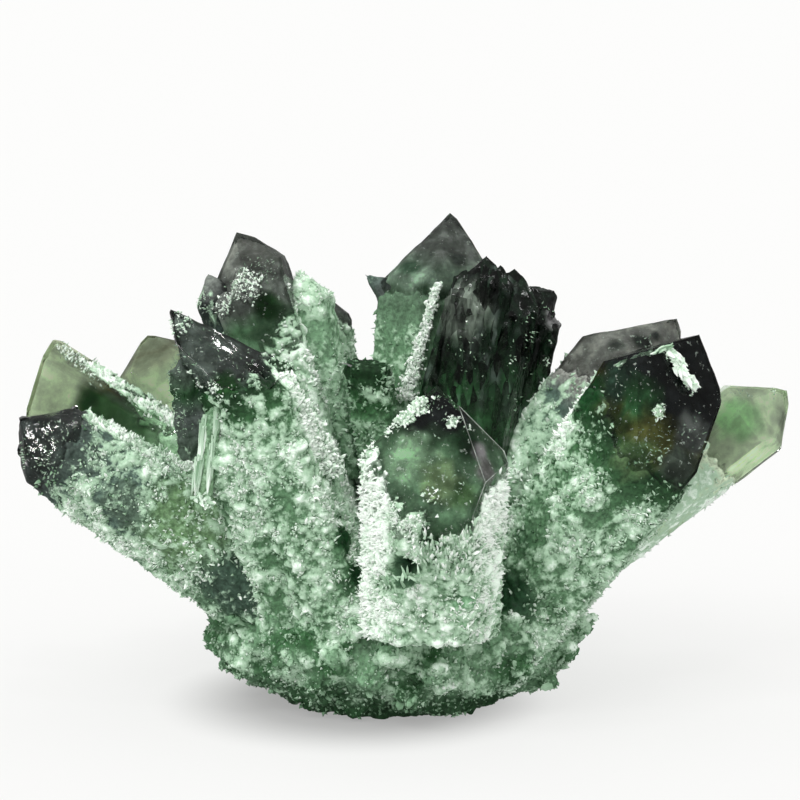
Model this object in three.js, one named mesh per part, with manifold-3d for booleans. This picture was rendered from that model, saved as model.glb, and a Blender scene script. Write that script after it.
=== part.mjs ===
// A green phantom quartz cluster: six-sided quartz crystals that spray out from one foot of smaller crystals, with a
// druse of short spikes on their sides. It grew as one piece, so it is one solid.
// Millimetres, +Z up. The cluster rests on a flat patch at Z = 0, and the viewer stands on the -Y side.

import * as THREE from "three";
import { ConvexGeometry } from "three/addons/geometries/ConvexGeometry.js";
import { mergeVertices } from "three/addons/utils/BufferGeometryUtils.js";
import Module from "manifold-3d";

const wasm = await Module();
wasm.setup();

// Quartz habit: six sides, and tip faces that stand at this angle to the crystal's length.
const sides = 6;
const tipFaceAngle = 38.2; // degrees
const unevenSides = 0.14; // share by which a side stands nearer or further than its neighbours
const viewerSide = new THREE.Vector3(0, -1, 0); // side 0 of a crystal with no turn looks this way
const goldenAngle = Math.PI * (3 - Math.sqrt(5)); // spreads repeats evenly round the foot

// The mound that the crystals grow from. centre and radii are those of a ball that the floor cuts off.
const mound = { centre: [-0.5, 1.5, 9.5], radii: [23, 19, 12], lump: 1.6, detail: 5 };
const floorCut = { size: 200, thickness: 50 };

// The main crystals. tip and root are points, width is across the flats at the shoulder, narrow is the share of it
// left at the root, turn is about the length, lean moves the body sideways from under the tip (towards the viewer,
// then to the right), ridge draws the tip out into an edge, minor sets the lesser tip faces back, and blunt is a face
// that trims a tip or a side. A tipFaceAngle given here is for that crystal alone.
const mainCrystals = [
  { name: "front", tip: [4.4, -27.5, 46], root: [3.9, -14.6, 10.6], width: 16.2, narrow: 0.98, turn: 0,
    lean: [2.2, -0.1], ridge: 0, minor: 1.2, blunt: { at: [4, -23.6, 13.4], facing: [0, -0.1, -1] } },
  { name: "left", tip: [-28.5, -14, 53.6], root: [-11.2, -8.6, 7], width: 12.8, narrow: 0.78, turn: 8,
    lean: [0.6, 5.2], ridge: 0, minor: 0.5,
    blunt: { at: [-28.9, -14, 53.9], facing: [-0.977, -0.033, -0.21] } },
  { name: "lowLeft", tip: [-50.6, -8.6, 38.2], root: [-12.6, -2, 13.3], width: 10.6, narrow: 1.5, turn: 20,
    lean: [0.5, 0.9], ridge: 0, minor: 0.6, blunt: { at: [-48.4, -8, 36], facing: [-1, -0.25, -0.05] } },
  { name: "paleLeft", tip: [-54.5, 8, 44.6], root: [-14.5, 3, 21.1], width: 11.6, narrow: 0.9, turn: 12,
    lean: [0, 0], ridge: 0, minor: 0.5, blunt: { at: [-46.1, 7, 46.4], facing: [-0.961, 0.043, 0.275] } },
  { name: "paleBackLeft", tip: [-34.2, 16, 46.2], root: [-20, 10, 13], width: 11.2, narrow: 0.85, turn: 0,
    lean: [0, 0], ridge: 0, minor: 0.4, tipFaceAngle: 50 },
  { name: "tallLeft", tip: [-21.8, 7, 60.2], root: [-4, 3, 6], width: 12.2, narrow: 0.75, turn: 24,
    lean: [0.5, -1.0], ridge: 1.7, minor: 0.4 },
  { name: "behindLeft", tip: [-10.9, 20, 50.8], root: [-3, 8, 7], width: 7.8, narrow: 0.8, turn: 10,
    lean: [0, -0.8], ridge: 0.6, minor: 0.4 },
  { name: "tallMiddle", tip: [6.7, 14, 63], root: [1, 5, 6], width: 13.6, narrow: 0.82, turn: 26,
    lean: [0, -1.6], ridge: 0, minor: 0.4 },
  { name: "dark", tip: [11.1, 2, 59.1], root: [2.5, 0, 8], width: 10.4, narrow: 0.8, turn: 22,
    lean: [0.6, 1.0], ridge: 0.6, minor: 0.4 },
  { name: "darkMiddle", tip: [14.8, 2.6, 57.4], root: [6.5, 1, 10], width: 8.8, narrow: 0.8, turn: 5,
    lean: [0.6, 0.2], ridge: 0.6, minor: 0.4 },
  { name: "darkRight", tip: [18.6, 8, 56], root: [9, 3, 10], width: 8.4, narrow: 0.8, turn: 16,
    lean: [0.3, -0.8], ridge: 0.6, minor: 0.4, blunt: { at: [19.4, 8, 53.9], facing: [0.15, 0, 1] } },
  { name: "right", tip: [37.6, -11, 50], root: [9, -4, 7.6], width: 17.4, narrow: 0.68, turn: 14,
    lean: [1.0, 1.7], ridge: 0, minor: 2.4,
    blunt: { at: [40.7, -13, 42.4], facing: [0.927, -0.059, -0.37] } },
  { name: "backRight", tip: [36.2, 5, 49.9], root: [5, 3, 13], width: 11.6, narrow: 0.8, turn: 18,
    lean: [0, -1.8], ridge: 0.4, minor: 0.5 },
  { name: "farRight", tip: [51.2, 6, 40.2], root: [9, 3, 6], width: 10.4, narrow: 0.8, turn: 0,
    lean: [0.3, -0.2], ridge: 0, minor: 0.6 },
  { name: "middleStub", tip: [-5.6, -1.5, 48.4], root: [-2, 4, 20], width: 5.4, narrow: 0.9, turn: 12,
    lean: [0.3, 0.8], ridge: 0.6, minor: 0.3, blunt: { at: [-5.5, -2, 44.8], facing: [0.1, -0.1, 1] } },
  { name: "backUpper", tip: [11, 34, 41], root: [3, 6, 8], width: 12.2, narrow: 0.75, turn: 10,
    lean: [-0.8, 0], ridge: 0, minor: 0.7 },
  { name: "backLower", tip: [-9, 40, 26], root: [0, 5, 6], width: 11.0, narrow: 0.8, turn: 22,
    lean: [-0.4, 0.4], ridge: 1.4, minor: 0.6 },
  { name: "backLeft", tip: [-27, 31, 35], root: [-5, 6, 6], width: 10.6, narrow: 0.8, turn: 4,
    lean: [-0.4, 0.3], ridge: 0, minor: 0.7 },
  { name: "backRightLow", tip: [34, 26, 31], root: [6, 6, 6], width: 11.4, narrow: 0.8, turn: 15,
    lean: [-0.4, -0.3], ridge: 1.0, minor: 0.7 },
];

// Smaller crystals grown along the main ones or out of their sides. They need no lean, ridge or flare.
const sideCrystals = [
  { name: "frontNeck", tip: [3.6, -20, 26], root: [3, -2, 4], width: 12, turn: 10 },
  { name: "frontHeel", tip: [4.4, -21.5, 21.5], root: [3.6, -4, 10], width: 11, turn: 4 },
  { name: "leftShoulder", tip: [-22.9, -15.6, 39.5], root: [-12, -8, 8], width: 6.6, turn: 14 },
  { name: "leftFlank", tip: [-26.4, -14.4, 49.0], root: [-25.2, -12.9, 34.6], width: 5.0, turn: 10 },
  { name: "leftSlab", tip: [-23.0, -16.8, 42.0], root: [-24.6, -15.8, 28.2], width: 2.4, turn: 24 },
  { name: "tallLeftStep", tip: [-25.2, 5, 56], root: [-14, 3.5, 30], width: 5.6, turn: 6 },
  { name: "middleSpur", tip: [-4.8, 9, 55.3], root: [2.6, 10.5, 49.6], width: 3.6, turn: 0,
    tipFaceAngle: 24 },
  { name: "darkStepLeft", tip: [13.2, -1.6, 58.4], root: [7, -1.5, 32], width: 5.4, turn: 14 },
  { name: "darkStepRight", tip: [16.7, 5, 55], root: [11, 2.5, 32], width: 4.8, turn: 3 },
  { name: "darkStepLow", tip: [19.9, 5.4, 51.6], root: [13, 2.5, 30], width: 4.6, turn: 20 },
  { name: "lowLeftStep", tip: [-26.8, -10.4, 23.4], root: [-17, -6, 13], width: 4.2, turn: 12 },
  { name: "backUpperStep", tip: [4, 31, 33], root: [2, 12, 14], width: 6.0, turn: 12 },
  { name: "backLeftStep", tip: [-18.6, 33, 25.4], root: [-6, 12, 10], width: 5.4, turn: 4 },
  { name: "backRightStep", tip: [26, 31, 24], root: [8, 12, 8], width: 5.8, turn: 20 },
  { name: "tallLeftWing", tip: [-13.3, 8, 55.9], root: [-7.3, 6, 28.1], width: 6.4, turn: 8 },
];
const plainHabit = { narrow: 0.92, lean: [0, 0], ridge: 0, minor: 0.15, tipFaceAngle };

// The foot's own small crystals, in a spiral up its sides, and the spikes of the druse.
const footCrystals = { count: 62, lowest: 4.2, highest: 15, width: [2.2, 4.4], length: [4.6, 9.0], buried: 0.5 };
const druse = { perCrystal: 12, perFoot: 24, reach: [0.16, 0.9], radius: [0.42, 0.8], length: [1.7, 3.3],
  buried: 0.7 };

// The crater in the front crystal's face.
const pit = { at: [0.3, -29.5, 23.5], inwards: [0.15, 1, 0.25], radius: 4.2, depth: 2.4 };

// The same number from 0 to 1 for the same pair of whole numbers, for unevenness that never changes.
function chance(index, draw) {
  const wave = Math.sin(index * 12.9898 + draw * 78.233) * 43758.5453;
  return wave - Math.floor(wave);
}

function between([low, high], share) {
  return low + (high - low) * share;
}

// A frame at a point whose +Z runs along a direction and whose +X looks as nearly towards the viewer as it can.
function frameAlong(direction, point) {
  const up = direction.clone().normalize();
  const out = viewerSide.clone().addScaledVector(up, -viewerSide.dot(up)).normalize();
  const across = new THREE.Vector3().crossVectors(up, out);
  return new THREE.Matrix4().makeBasis(out, across, up).setPosition(point);
}

// The face that blunts a crystal's tip, in the cluster's frame.
function bluntPlane({ at, facing }) {
  const normal = new THREE.Vector3(...facing).normalize();
  return new THREE.Plane().setFromNormalAndCoplanarPoint(normal, new THREE.Vector3(...at));
}

// The planes that bound a crystal in its own frame: the root end, six sides and six tip faces.
function crystalPlanes(crystal, length, seed) {
  const planes = [new THREE.Plane(new THREE.Vector3(0, 0, -1), 0)];
  const apothem = crystal.width / 2;
  const slope = THREE.MathUtils.degToRad(crystal.tipFaceAngle);
  const shoulder = length - apothem / Math.tan(slope);
  const flare = Math.atan2(apothem * (1 - crystal.narrow), shoulder);
  for (let side = 0; side < sides; side += 1) {
    const angle = THREE.MathUtils.degToRad(crystal.turn) + (side * 2 * Math.PI) / sides;
    const outward = new THREE.Vector3(Math.cos(angle), Math.sin(angle), 0);
    const reach = apothem * (1 + unevenSides * (chance(seed, side) - 0.5));
    const onSide = new THREE.Vector3(crystal.lean[0], crystal.lean[1], shoulder).addScaledVector(outward, reach);
    const sideNormal = outward.clone().multiplyScalar(Math.cos(flare)).setZ(-Math.sin(flare));
    planes.push(new THREE.Plane().setFromNormalAndCoplanarPoint(sideNormal, onSide));
    const tipNormal = outward.clone().multiplyScalar(Math.cos(slope)).setZ(Math.sin(slope));
    const apex = new THREE.Vector3(0, outward.y > 0 ? crystal.ridge : 0, length);
    apex.addScaledVector(tipNormal, side % 2 ? crystal.minor : 0);
    planes.push(new THREE.Plane().setFromNormalAndCoplanarPoint(tipNormal, apex));
  }
  return planes;
}

// The point where three planes meet, or null where they don't.
function meetingPoint(a, b, c) {
  const bCrossC = new THREE.Vector3().crossVectors(b.normal, c.normal);
  const volume = a.normal.dot(bCrossC);
  if (Math.abs(volume) < 1e-6) return null;
  return bCrossC.multiplyScalar(-a.constant)
    .addScaledVector(new THREE.Vector3().crossVectors(c.normal, a.normal), -b.constant)
    .addScaledVector(new THREE.Vector3().crossVectors(a.normal, b.normal), -c.constant)
    .divideScalar(volume);
}

// The flat-faced geometry inside all the planes.
function geometryWithin(planes) {
  const slack = 1e-4;
  const corners = [];
  for (let a = 0; a < planes.length; a += 1) {
    for (let b = a + 1; b < planes.length; b += 1) {
      for (let c = b + 1; c < planes.length; c += 1) {
        const point = meetingPoint(planes[a], planes[b], planes[c]);
        if (!point || planes.some((plane) => plane.distanceToPoint(point) > slack)) continue;
        if (!corners.some((corner) => corner.distanceTo(point) < 10 * slack)) corners.push(point);
      }
    }
  }
  return new ConvexGeometry(corners);
}

// A crystal from root to tip, in the cluster's frame.
function crystalGeometry(crystal, seed) {
  const root = new THREE.Vector3(...crystal.root);
  const along = new THREE.Vector3(...crystal.tip).sub(root);
  const frame = frameAlong(along, root);
  const planes = crystalPlanes({ ...plainHabit, ...crystal }, along.length(), seed);
  if (crystal.blunt) planes.push(bluntPlane(crystal.blunt).applyMatrix4(frame.clone().invert()));
  return geometryWithin(planes).applyMatrix4(frame);
}

// A closed geometry as a solid that can be joined and cut.
function toSolid(geometry) {
  const bare = new THREE.BufferGeometry();
  bare.setAttribute("position", geometry.getAttribute("position"));
  bare.setIndex(geometry.getIndex());
  const merged = mergeVertices(bare, 1e-4);
  return new wasm.Manifold(new wasm.Mesh({
    numProp: 3,
    vertProperties: merged.attributes.position.array,
    triVerts: new Uint32Array(merged.index.array),
  }));
}

function toGeometry(solid) {
  const mesh = solid.getMesh();
  const geometry = new THREE.BufferGeometry();
  geometry.setAttribute("position", new THREE.BufferAttribute(mesh.vertProperties, 3));
  geometry.setIndex(new THREE.BufferAttribute(mesh.triVerts, 1));
  return geometry;
}

// Where the mound's surface is, in a direction from its centre. A few crossing waves make its lumps.
function moundPoint(direction) {
  const { x, y, z } = direction;
  const wave = Math.sin(7 * x + 2 * z) * Math.sin(6 * y + 1) + 0.6 * Math.sin(11 * z + 9 * x);
  const swell = mound.lump * 0.5 * wave;
  return new THREE.Vector3(
    mound.centre[0] + x * (mound.radii[0] + swell),
    mound.centre[1] + y * (mound.radii[1] + swell),
    mound.centre[2] + z * (mound.radii[2] + swell),
  );
}

function moundGeometry() {
  const ball = new THREE.IcosahedronGeometry(1, mound.detail);
  const place = ball.getAttribute("position");
  const point = new THREE.Vector3();
  for (let index = 0; index < place.count; index += 1) {
    const moved = moundPoint(point.fromBufferAttribute(place, index));
    place.setXYZ(index, moved.x, moved.y, moved.z);
  }
  return ball;
}

// A point on the mound's side at a height, and the way out from there.
function moundSide(turn, height) {
  const rise = (height - mound.centre[2]) / mound.radii[2];
  const level = Math.sqrt(Math.max(0, 1 - rise * rise));
  const out = new THREE.Vector3(Math.cos(turn) * level, Math.sin(turn) * level, rise).normalize();
  return { point: moundPoint(out), out };
}

// The small crystals that make the foot rough. Each starts inside the mound and points out of it.
function footCrystalSolids() {
  const { count, lowest, highest, width, length, buried } = footCrystals;
  return Array.from({ length: count }, (_, index) => {
    const { point, out } = moundSide(index * goldenAngle, between([lowest, highest], (index + 0.5) / count));
    const way = out.clone().add(new THREE.Vector3(
      0.7 * (chance(index, 21) - 0.5), 0.7 * (chance(index, 22) - 0.5), 0.15 + 0.5 * chance(index, 23),
    )).normalize();
    const size = chance(index, 24);
    const reach = between(length, size * chance(index, 25));
    const root = point.clone().addScaledVector(way, -reach * buried);
    const tip = root.clone().addScaledVector(way, reach);
    const values = { root: root.toArray(), tip: tip.toArray(), width: between(width, size) };
    return toSolid(crystalGeometry({ ...values, turn: 60 * chance(index, 26) }, index));
  });
}

// A three-sided spike that stands on a point of a surface.
function spikeSolid(point, way, share) {
  const reach = between(druse.length, share);
  const spike = new THREE.ConeGeometry(between(druse.radius, share), reach, 3).rotateX(Math.PI / 2);
  spike.rotateZ(share * Math.PI).translate(0, 0, reach / 2 - druse.buried);
  return toSolid(spike.applyMatrix4(frameAlong(way, point)));
}

// Spikes on a crystal's sides, below its shoulder. They lean towards its tip, as a druse does.
function druseOnCrystal(crystal, seed) {
  const root = new THREE.Vector3(...crystal.root);
  const along = new THREE.Vector3(...crystal.tip).sub(root);
  const frame = frameAlong(along, root);
  const apothem = crystal.width / 2;
  const slope = THREE.MathUtils.degToRad(crystal.tipFaceAngle ?? tipFaceAngle);
  const shoulder = along.length() - apothem / Math.tan(slope);
  return Array.from({ length: druse.perCrystal }, (_, index) => {
    const draw = 40 + 5 * index;
    const side = index % sides;
    const height = shoulder * between(druse.reach, chance(seed, draw));
    const angle = THREE.MathUtils.degToRad(crystal.turn) + (side * 2 * Math.PI) / sides;
    const outward = new THREE.Vector3(Math.cos(angle), Math.sin(angle), 0);
    const sideways = new THREE.Vector3(-outward.y, outward.x, 0);
    const flared = crystal.narrow + ((1 - crystal.narrow) * height) / shoulder;
    const reach = apothem * flared * (1 + unevenSides * (chance(seed, side) - 0.5));
    const across = reach * Math.tan(Math.PI / sides) * 0.96 * (2 * chance(seed, draw + 1) - 1);
    const point = new THREE.Vector3(crystal.lean[0], crystal.lean[1], height)
      .addScaledVector(outward, reach).addScaledVector(sideways, across).applyMatrix4(frame);
    const way = outward.clone().addScaledVector(sideways, 0.8 * (chance(seed, draw + 2) - 0.5))
      .setZ(0.3 + 0.6 * chance(seed, draw + 3)).transformDirection(frame);
    return spikeSolid(point, way, chance(seed, draw + 4));
  });
}

function druseOnFoot() {
  return Array.from({ length: druse.perFoot }, (_, index) => {
    const { point, out } = moundSide((index + 0.5) * goldenAngle * 3, between([3, 15], chance(index, 31)));
    return spikeSolid(point, out.setZ(out.z + 0.5 * chance(index, 32)), chance(index, 33));
  });
}

function pitSolid() {
  const { at, inwards, radius, depth } = pit;
  const cone = new THREE.ConeGeometry(radius, 2 * depth, sides).rotateX(Math.PI / 2);
  return toSolid(cone.applyMatrix4(frameAlong(new THREE.Vector3(...inwards), new THREE.Vector3(...at))));
}

function clusterSolid() {
  const all = [...mainCrystals, ...sideCrystals];
  const crystals = all.map((crystal, seed) => toSolid(crystalGeometry(crystal, seed)));
  const grown = wasm.Manifold.union([toSolid(moundGeometry()), ...crystals, ...footCrystalSolids()]);
  const spikes = mainCrystals.flatMap((crystal, seed) => druseOnCrystal(crystal, seed));
  const frosted = wasm.Manifold.union([grown.subtract(pitSolid()), ...spikes, ...druseOnFoot()]);
  const { size, thickness } = floorCut;
  const below = toSolid(new THREE.BoxGeometry(size, size, thickness).translate(0, 0, -thickness / 2));
  return frosted.subtract(below);
}

const quartz = new THREE.MeshStandardMaterial({ color: 0x6f9a78, roughness: 0.5, metalness: 0 });
const specimen = new THREE.Mesh(toGeometry(clusterSolid()), quartz);
specimen.name = "quartz_cluster";

const cluster = new THREE.Group();
cluster.add(specimen);

export default cluster;
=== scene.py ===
import math

import bmesh
import bpy
import numpy as np
from mathutils import Matrix, Vector, noise


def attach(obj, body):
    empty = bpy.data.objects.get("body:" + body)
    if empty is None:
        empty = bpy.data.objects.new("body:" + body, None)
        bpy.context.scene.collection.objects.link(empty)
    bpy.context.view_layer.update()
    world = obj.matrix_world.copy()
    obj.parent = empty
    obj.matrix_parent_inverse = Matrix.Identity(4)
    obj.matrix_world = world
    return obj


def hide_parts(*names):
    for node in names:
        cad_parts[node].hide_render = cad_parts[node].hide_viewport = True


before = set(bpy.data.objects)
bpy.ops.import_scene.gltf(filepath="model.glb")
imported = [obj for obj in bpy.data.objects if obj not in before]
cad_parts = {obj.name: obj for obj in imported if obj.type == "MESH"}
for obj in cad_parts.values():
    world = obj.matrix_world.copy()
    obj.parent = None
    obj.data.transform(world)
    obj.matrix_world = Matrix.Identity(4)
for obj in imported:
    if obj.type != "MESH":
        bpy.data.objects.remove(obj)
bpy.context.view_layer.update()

mm = 0.001
specimen = "quartz_cluster"
seeds = {"druse": 100, "leaves": 321, "bundle": 400, "crustsAndGlints": 900, "foot": 77}

# Green phantom quartz cluster: habit of the crystals, in millimetres and degrees.
habit = {
    "sides": 6,
    "tipFaceAngle": 38.2,
    "unevenSides": 0.14,
    "narrow": 0.92,
    "lean": (0, 0),
    "ridge": 0,
    "minor": 0.15,
}
viewerSide = Vector((0, -1, 0))

# Each crystal: tip and root points, width at the shoulder, turn about its length, share of the width at the root,
# lean, ridge and minor. What a row leaves out is as in the habit.
columns = ("tip", "root", "width", "turn", "narrow", "lean", "ridge", "minor")
crystalRows = {
    "front": ((4.4, -27.5, 46), (3.9, -14.6, 10.6), 16.2, 0, 0.98, (2.2, -0.1), 0, 1.2),
    "left": ((-28.5, -14, 53.6), (-11.2, -8.6, 7), 12.8, 8, 0.78, (0.6, 5.2), 0, 0.5),
    "lowLeft": ((-50.6, -8.6, 38.2), (-12.6, -2, 13.3), 10.6, 20, 1.5, (0.5, 0.9), 0, 0.6),
    "paleLeft": ((-54.5, 8, 44.6), (-14.5, 3, 21.1), 11.6, 12, 0.9, (0, 0), 0, 0.5),
    "paleBackLeft": ((-34.2, 16, 46.2), (-20, 10, 13), 11.2, 0, 0.85, (0, 0), 0, 0.4),
    "tallLeft": ((-21.8, 7, 60.2), (-4, 3, 6), 12.2, 24, 0.75, (0.5, -1.0), 1.7, 0.4),
    "behindLeft": ((-10.9, 20, 50.8), (-3, 8, 7), 7.8, 10, 0.8, (0, -0.8), 0.6, 0.4),
    "tallMiddle": ((6.7, 14, 63), (1, 5, 6), 13.6, 26, 0.82, (0, -1.6), 0, 0.4),
    "dark": ((11.1, 2, 59.1), (2.5, 0, 8), 10.4, 22, 0.8, (0.6, 1.0), 0.6, 0.4),
    "darkMiddle": ((14.8, 2.6, 57.4), (6.5, 1, 10), 8.8, 5, 0.8, (0.6, 0.2), 0.6, 0.4),
    "darkRight": ((18.6, 8, 56), (9, 3, 10), 8.4, 16, 0.8, (0.3, -0.8), 0.6, 0.4),
    "right": ((37.6, -11, 50), (9, -4, 7.6), 17.4, 14, 0.68, (1.0, 1.7), 0, 2.4),
    "backRight": ((36.2, 5, 49.9), (5, 3, 13), 11.6, 18, 0.8, (0, -1.8), 0.4, 0.5),
    "farRight": ((51.2, 6, 40.2), (9, 3, 6), 10.4, 0, 0.8, (0.3, -0.2), 0, 0.6),
    "middleStub": ((-5.6, -1.5, 48.4), (-2, 4, 20), 5.4, 12, 0.9, (0.3, 0.8), 0.6, 0.3),
    "backUpper": ((11, 34, 41), (3, 6, 8), 12.2, 10, 0.75, (-0.8, 0), 0, 0.7),
    "backLower": ((-9, 40, 26), (0, 5, 6), 11.0, 22, 0.8, (-0.4, 0.4), 1.4, 0.6),
    "backLeft": ((-27, 31, 35), (-5, 6, 6), 10.6, 4, 0.8, (-0.4, 0.3), 0, 0.7),
    "backRightLow": ((34, 26, 31), (6, 6, 6), 11.4, 15, 0.8, (-0.4, -0.3), 1.0, 0.7),
    "frontNeck": ((3.6, -20, 26), (3, -2, 4), 12, 10),
    "frontHeel": ((4.4, -21.5, 21.5), (3.6, -4, 10), 11, 4),
    "leftShoulder": ((-22.9, -15.6, 39.5), (-12, -8, 8), 6.6, 14),
    "leftFlank": ((-26.4, -14.4, 49.0), (-25.2, -12.9, 34.6), 5.0, 10),
    "leftSlab": ((-23.0, -16.8, 42.0), (-24.6, -15.8, 28.2), 2.4, 24),
    "tallLeftStep": ((-25.2, 5, 56), (-14, 3.5, 30), 5.6, 6),
    "middleSpur": ((-4.8, 9, 55.3), (2.6, 10.5, 49.6), 3.6, 0),
    "darkStepLeft": ((13.2, -1.6, 58.4), (7, -1.5, 32), 5.4, 14),
    "darkStepRight": ((16.7, 5, 55), (11, 2.5, 32), 4.8, 3),
    "darkStepLow": ((19.9, 5.4, 51.6), (13, 2.5, 30), 4.6, 20),
    "lowLeftStep": ((-26.8, -10.4, 23.4), (-17, -6, 13), 4.2, 12),
    "backUpperStep": ((4, 31, 33), (2, 12, 14), 6.0, 12),
    "backLeftStep": ((-18.6, 33, 25.4), (-6, 12, 10), 5.4, 4),
    "backRightStep": ((26, 31, 24), (8, 12, 8), 5.8, 20),
    "tallLeftWing": ((-13.3, 8, 55.9), (-7.3, 6, 28.1), 6.4, 8),
}

# A face that blunts a crystal, as a point and the way it faces, and tips that are steeper or flatter than the habit
special = {
    "front": dict(blunt=((4, -23.6, 13.4), (0, -0.1, -1))),
    "left": dict(blunt=((-28.9, -14, 53.9), (-0.977, -0.033, -0.21))),
    "lowLeft": dict(blunt=((-48.4, -8, 36), (-1, -0.25, -0.05))),
    "paleLeft": dict(blunt=((-46.1, 7, 46.4), (-0.961, 0.043, 0.275))),
    "paleBackLeft": dict(tipFaceAngle=50),
    "darkRight": dict(blunt=((19.4, 8, 53.9), (0.15, 0, 1))),
    "right": dict(blunt=((40.7, -13, 42.4), (0.927, -0.059, -0.37))),
    "middleStub": dict(blunt=((-5.5, -2, 44.8), (0.1, -0.1, 1))),
    "middleSpur": dict(tipFaceAngle=24),
}
foot = {"centre": (-0.5, 1.5, 9.5), "radii": (23, 19, 12), "lump": 1.6}

# Colours of the quartz, linear.
charcoal = (0.016, 0.02, 0.02)
ash = (0.19, 0.215, 0.19)
smoke = (0.07, 0.088, 0.08)
blackGreen = (0.003, 0.008, 0.004)
bundleGreen = (0.014, 0.05, 0.017)
darkGreen = (0.015, 0.055, 0.018)
deepGreen = (0.045, 0.13, 0.05)
midGreen = (0.105, 0.215, 0.112)
softGreen = (0.165, 0.3, 0.175)
slate = (0.085, 0.14, 0.112)
slateGrey = (0.16, 0.205, 0.175)
paleAsh = (0.33, 0.345, 0.31)
palest = (0.84, 1.0, 0.72)
olive = (0.08, 0.092, 0.018)
paleOlive = (0.62, 0.75, 0.52)
paleGreen = (0.47, 0.64, 0.41)
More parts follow.
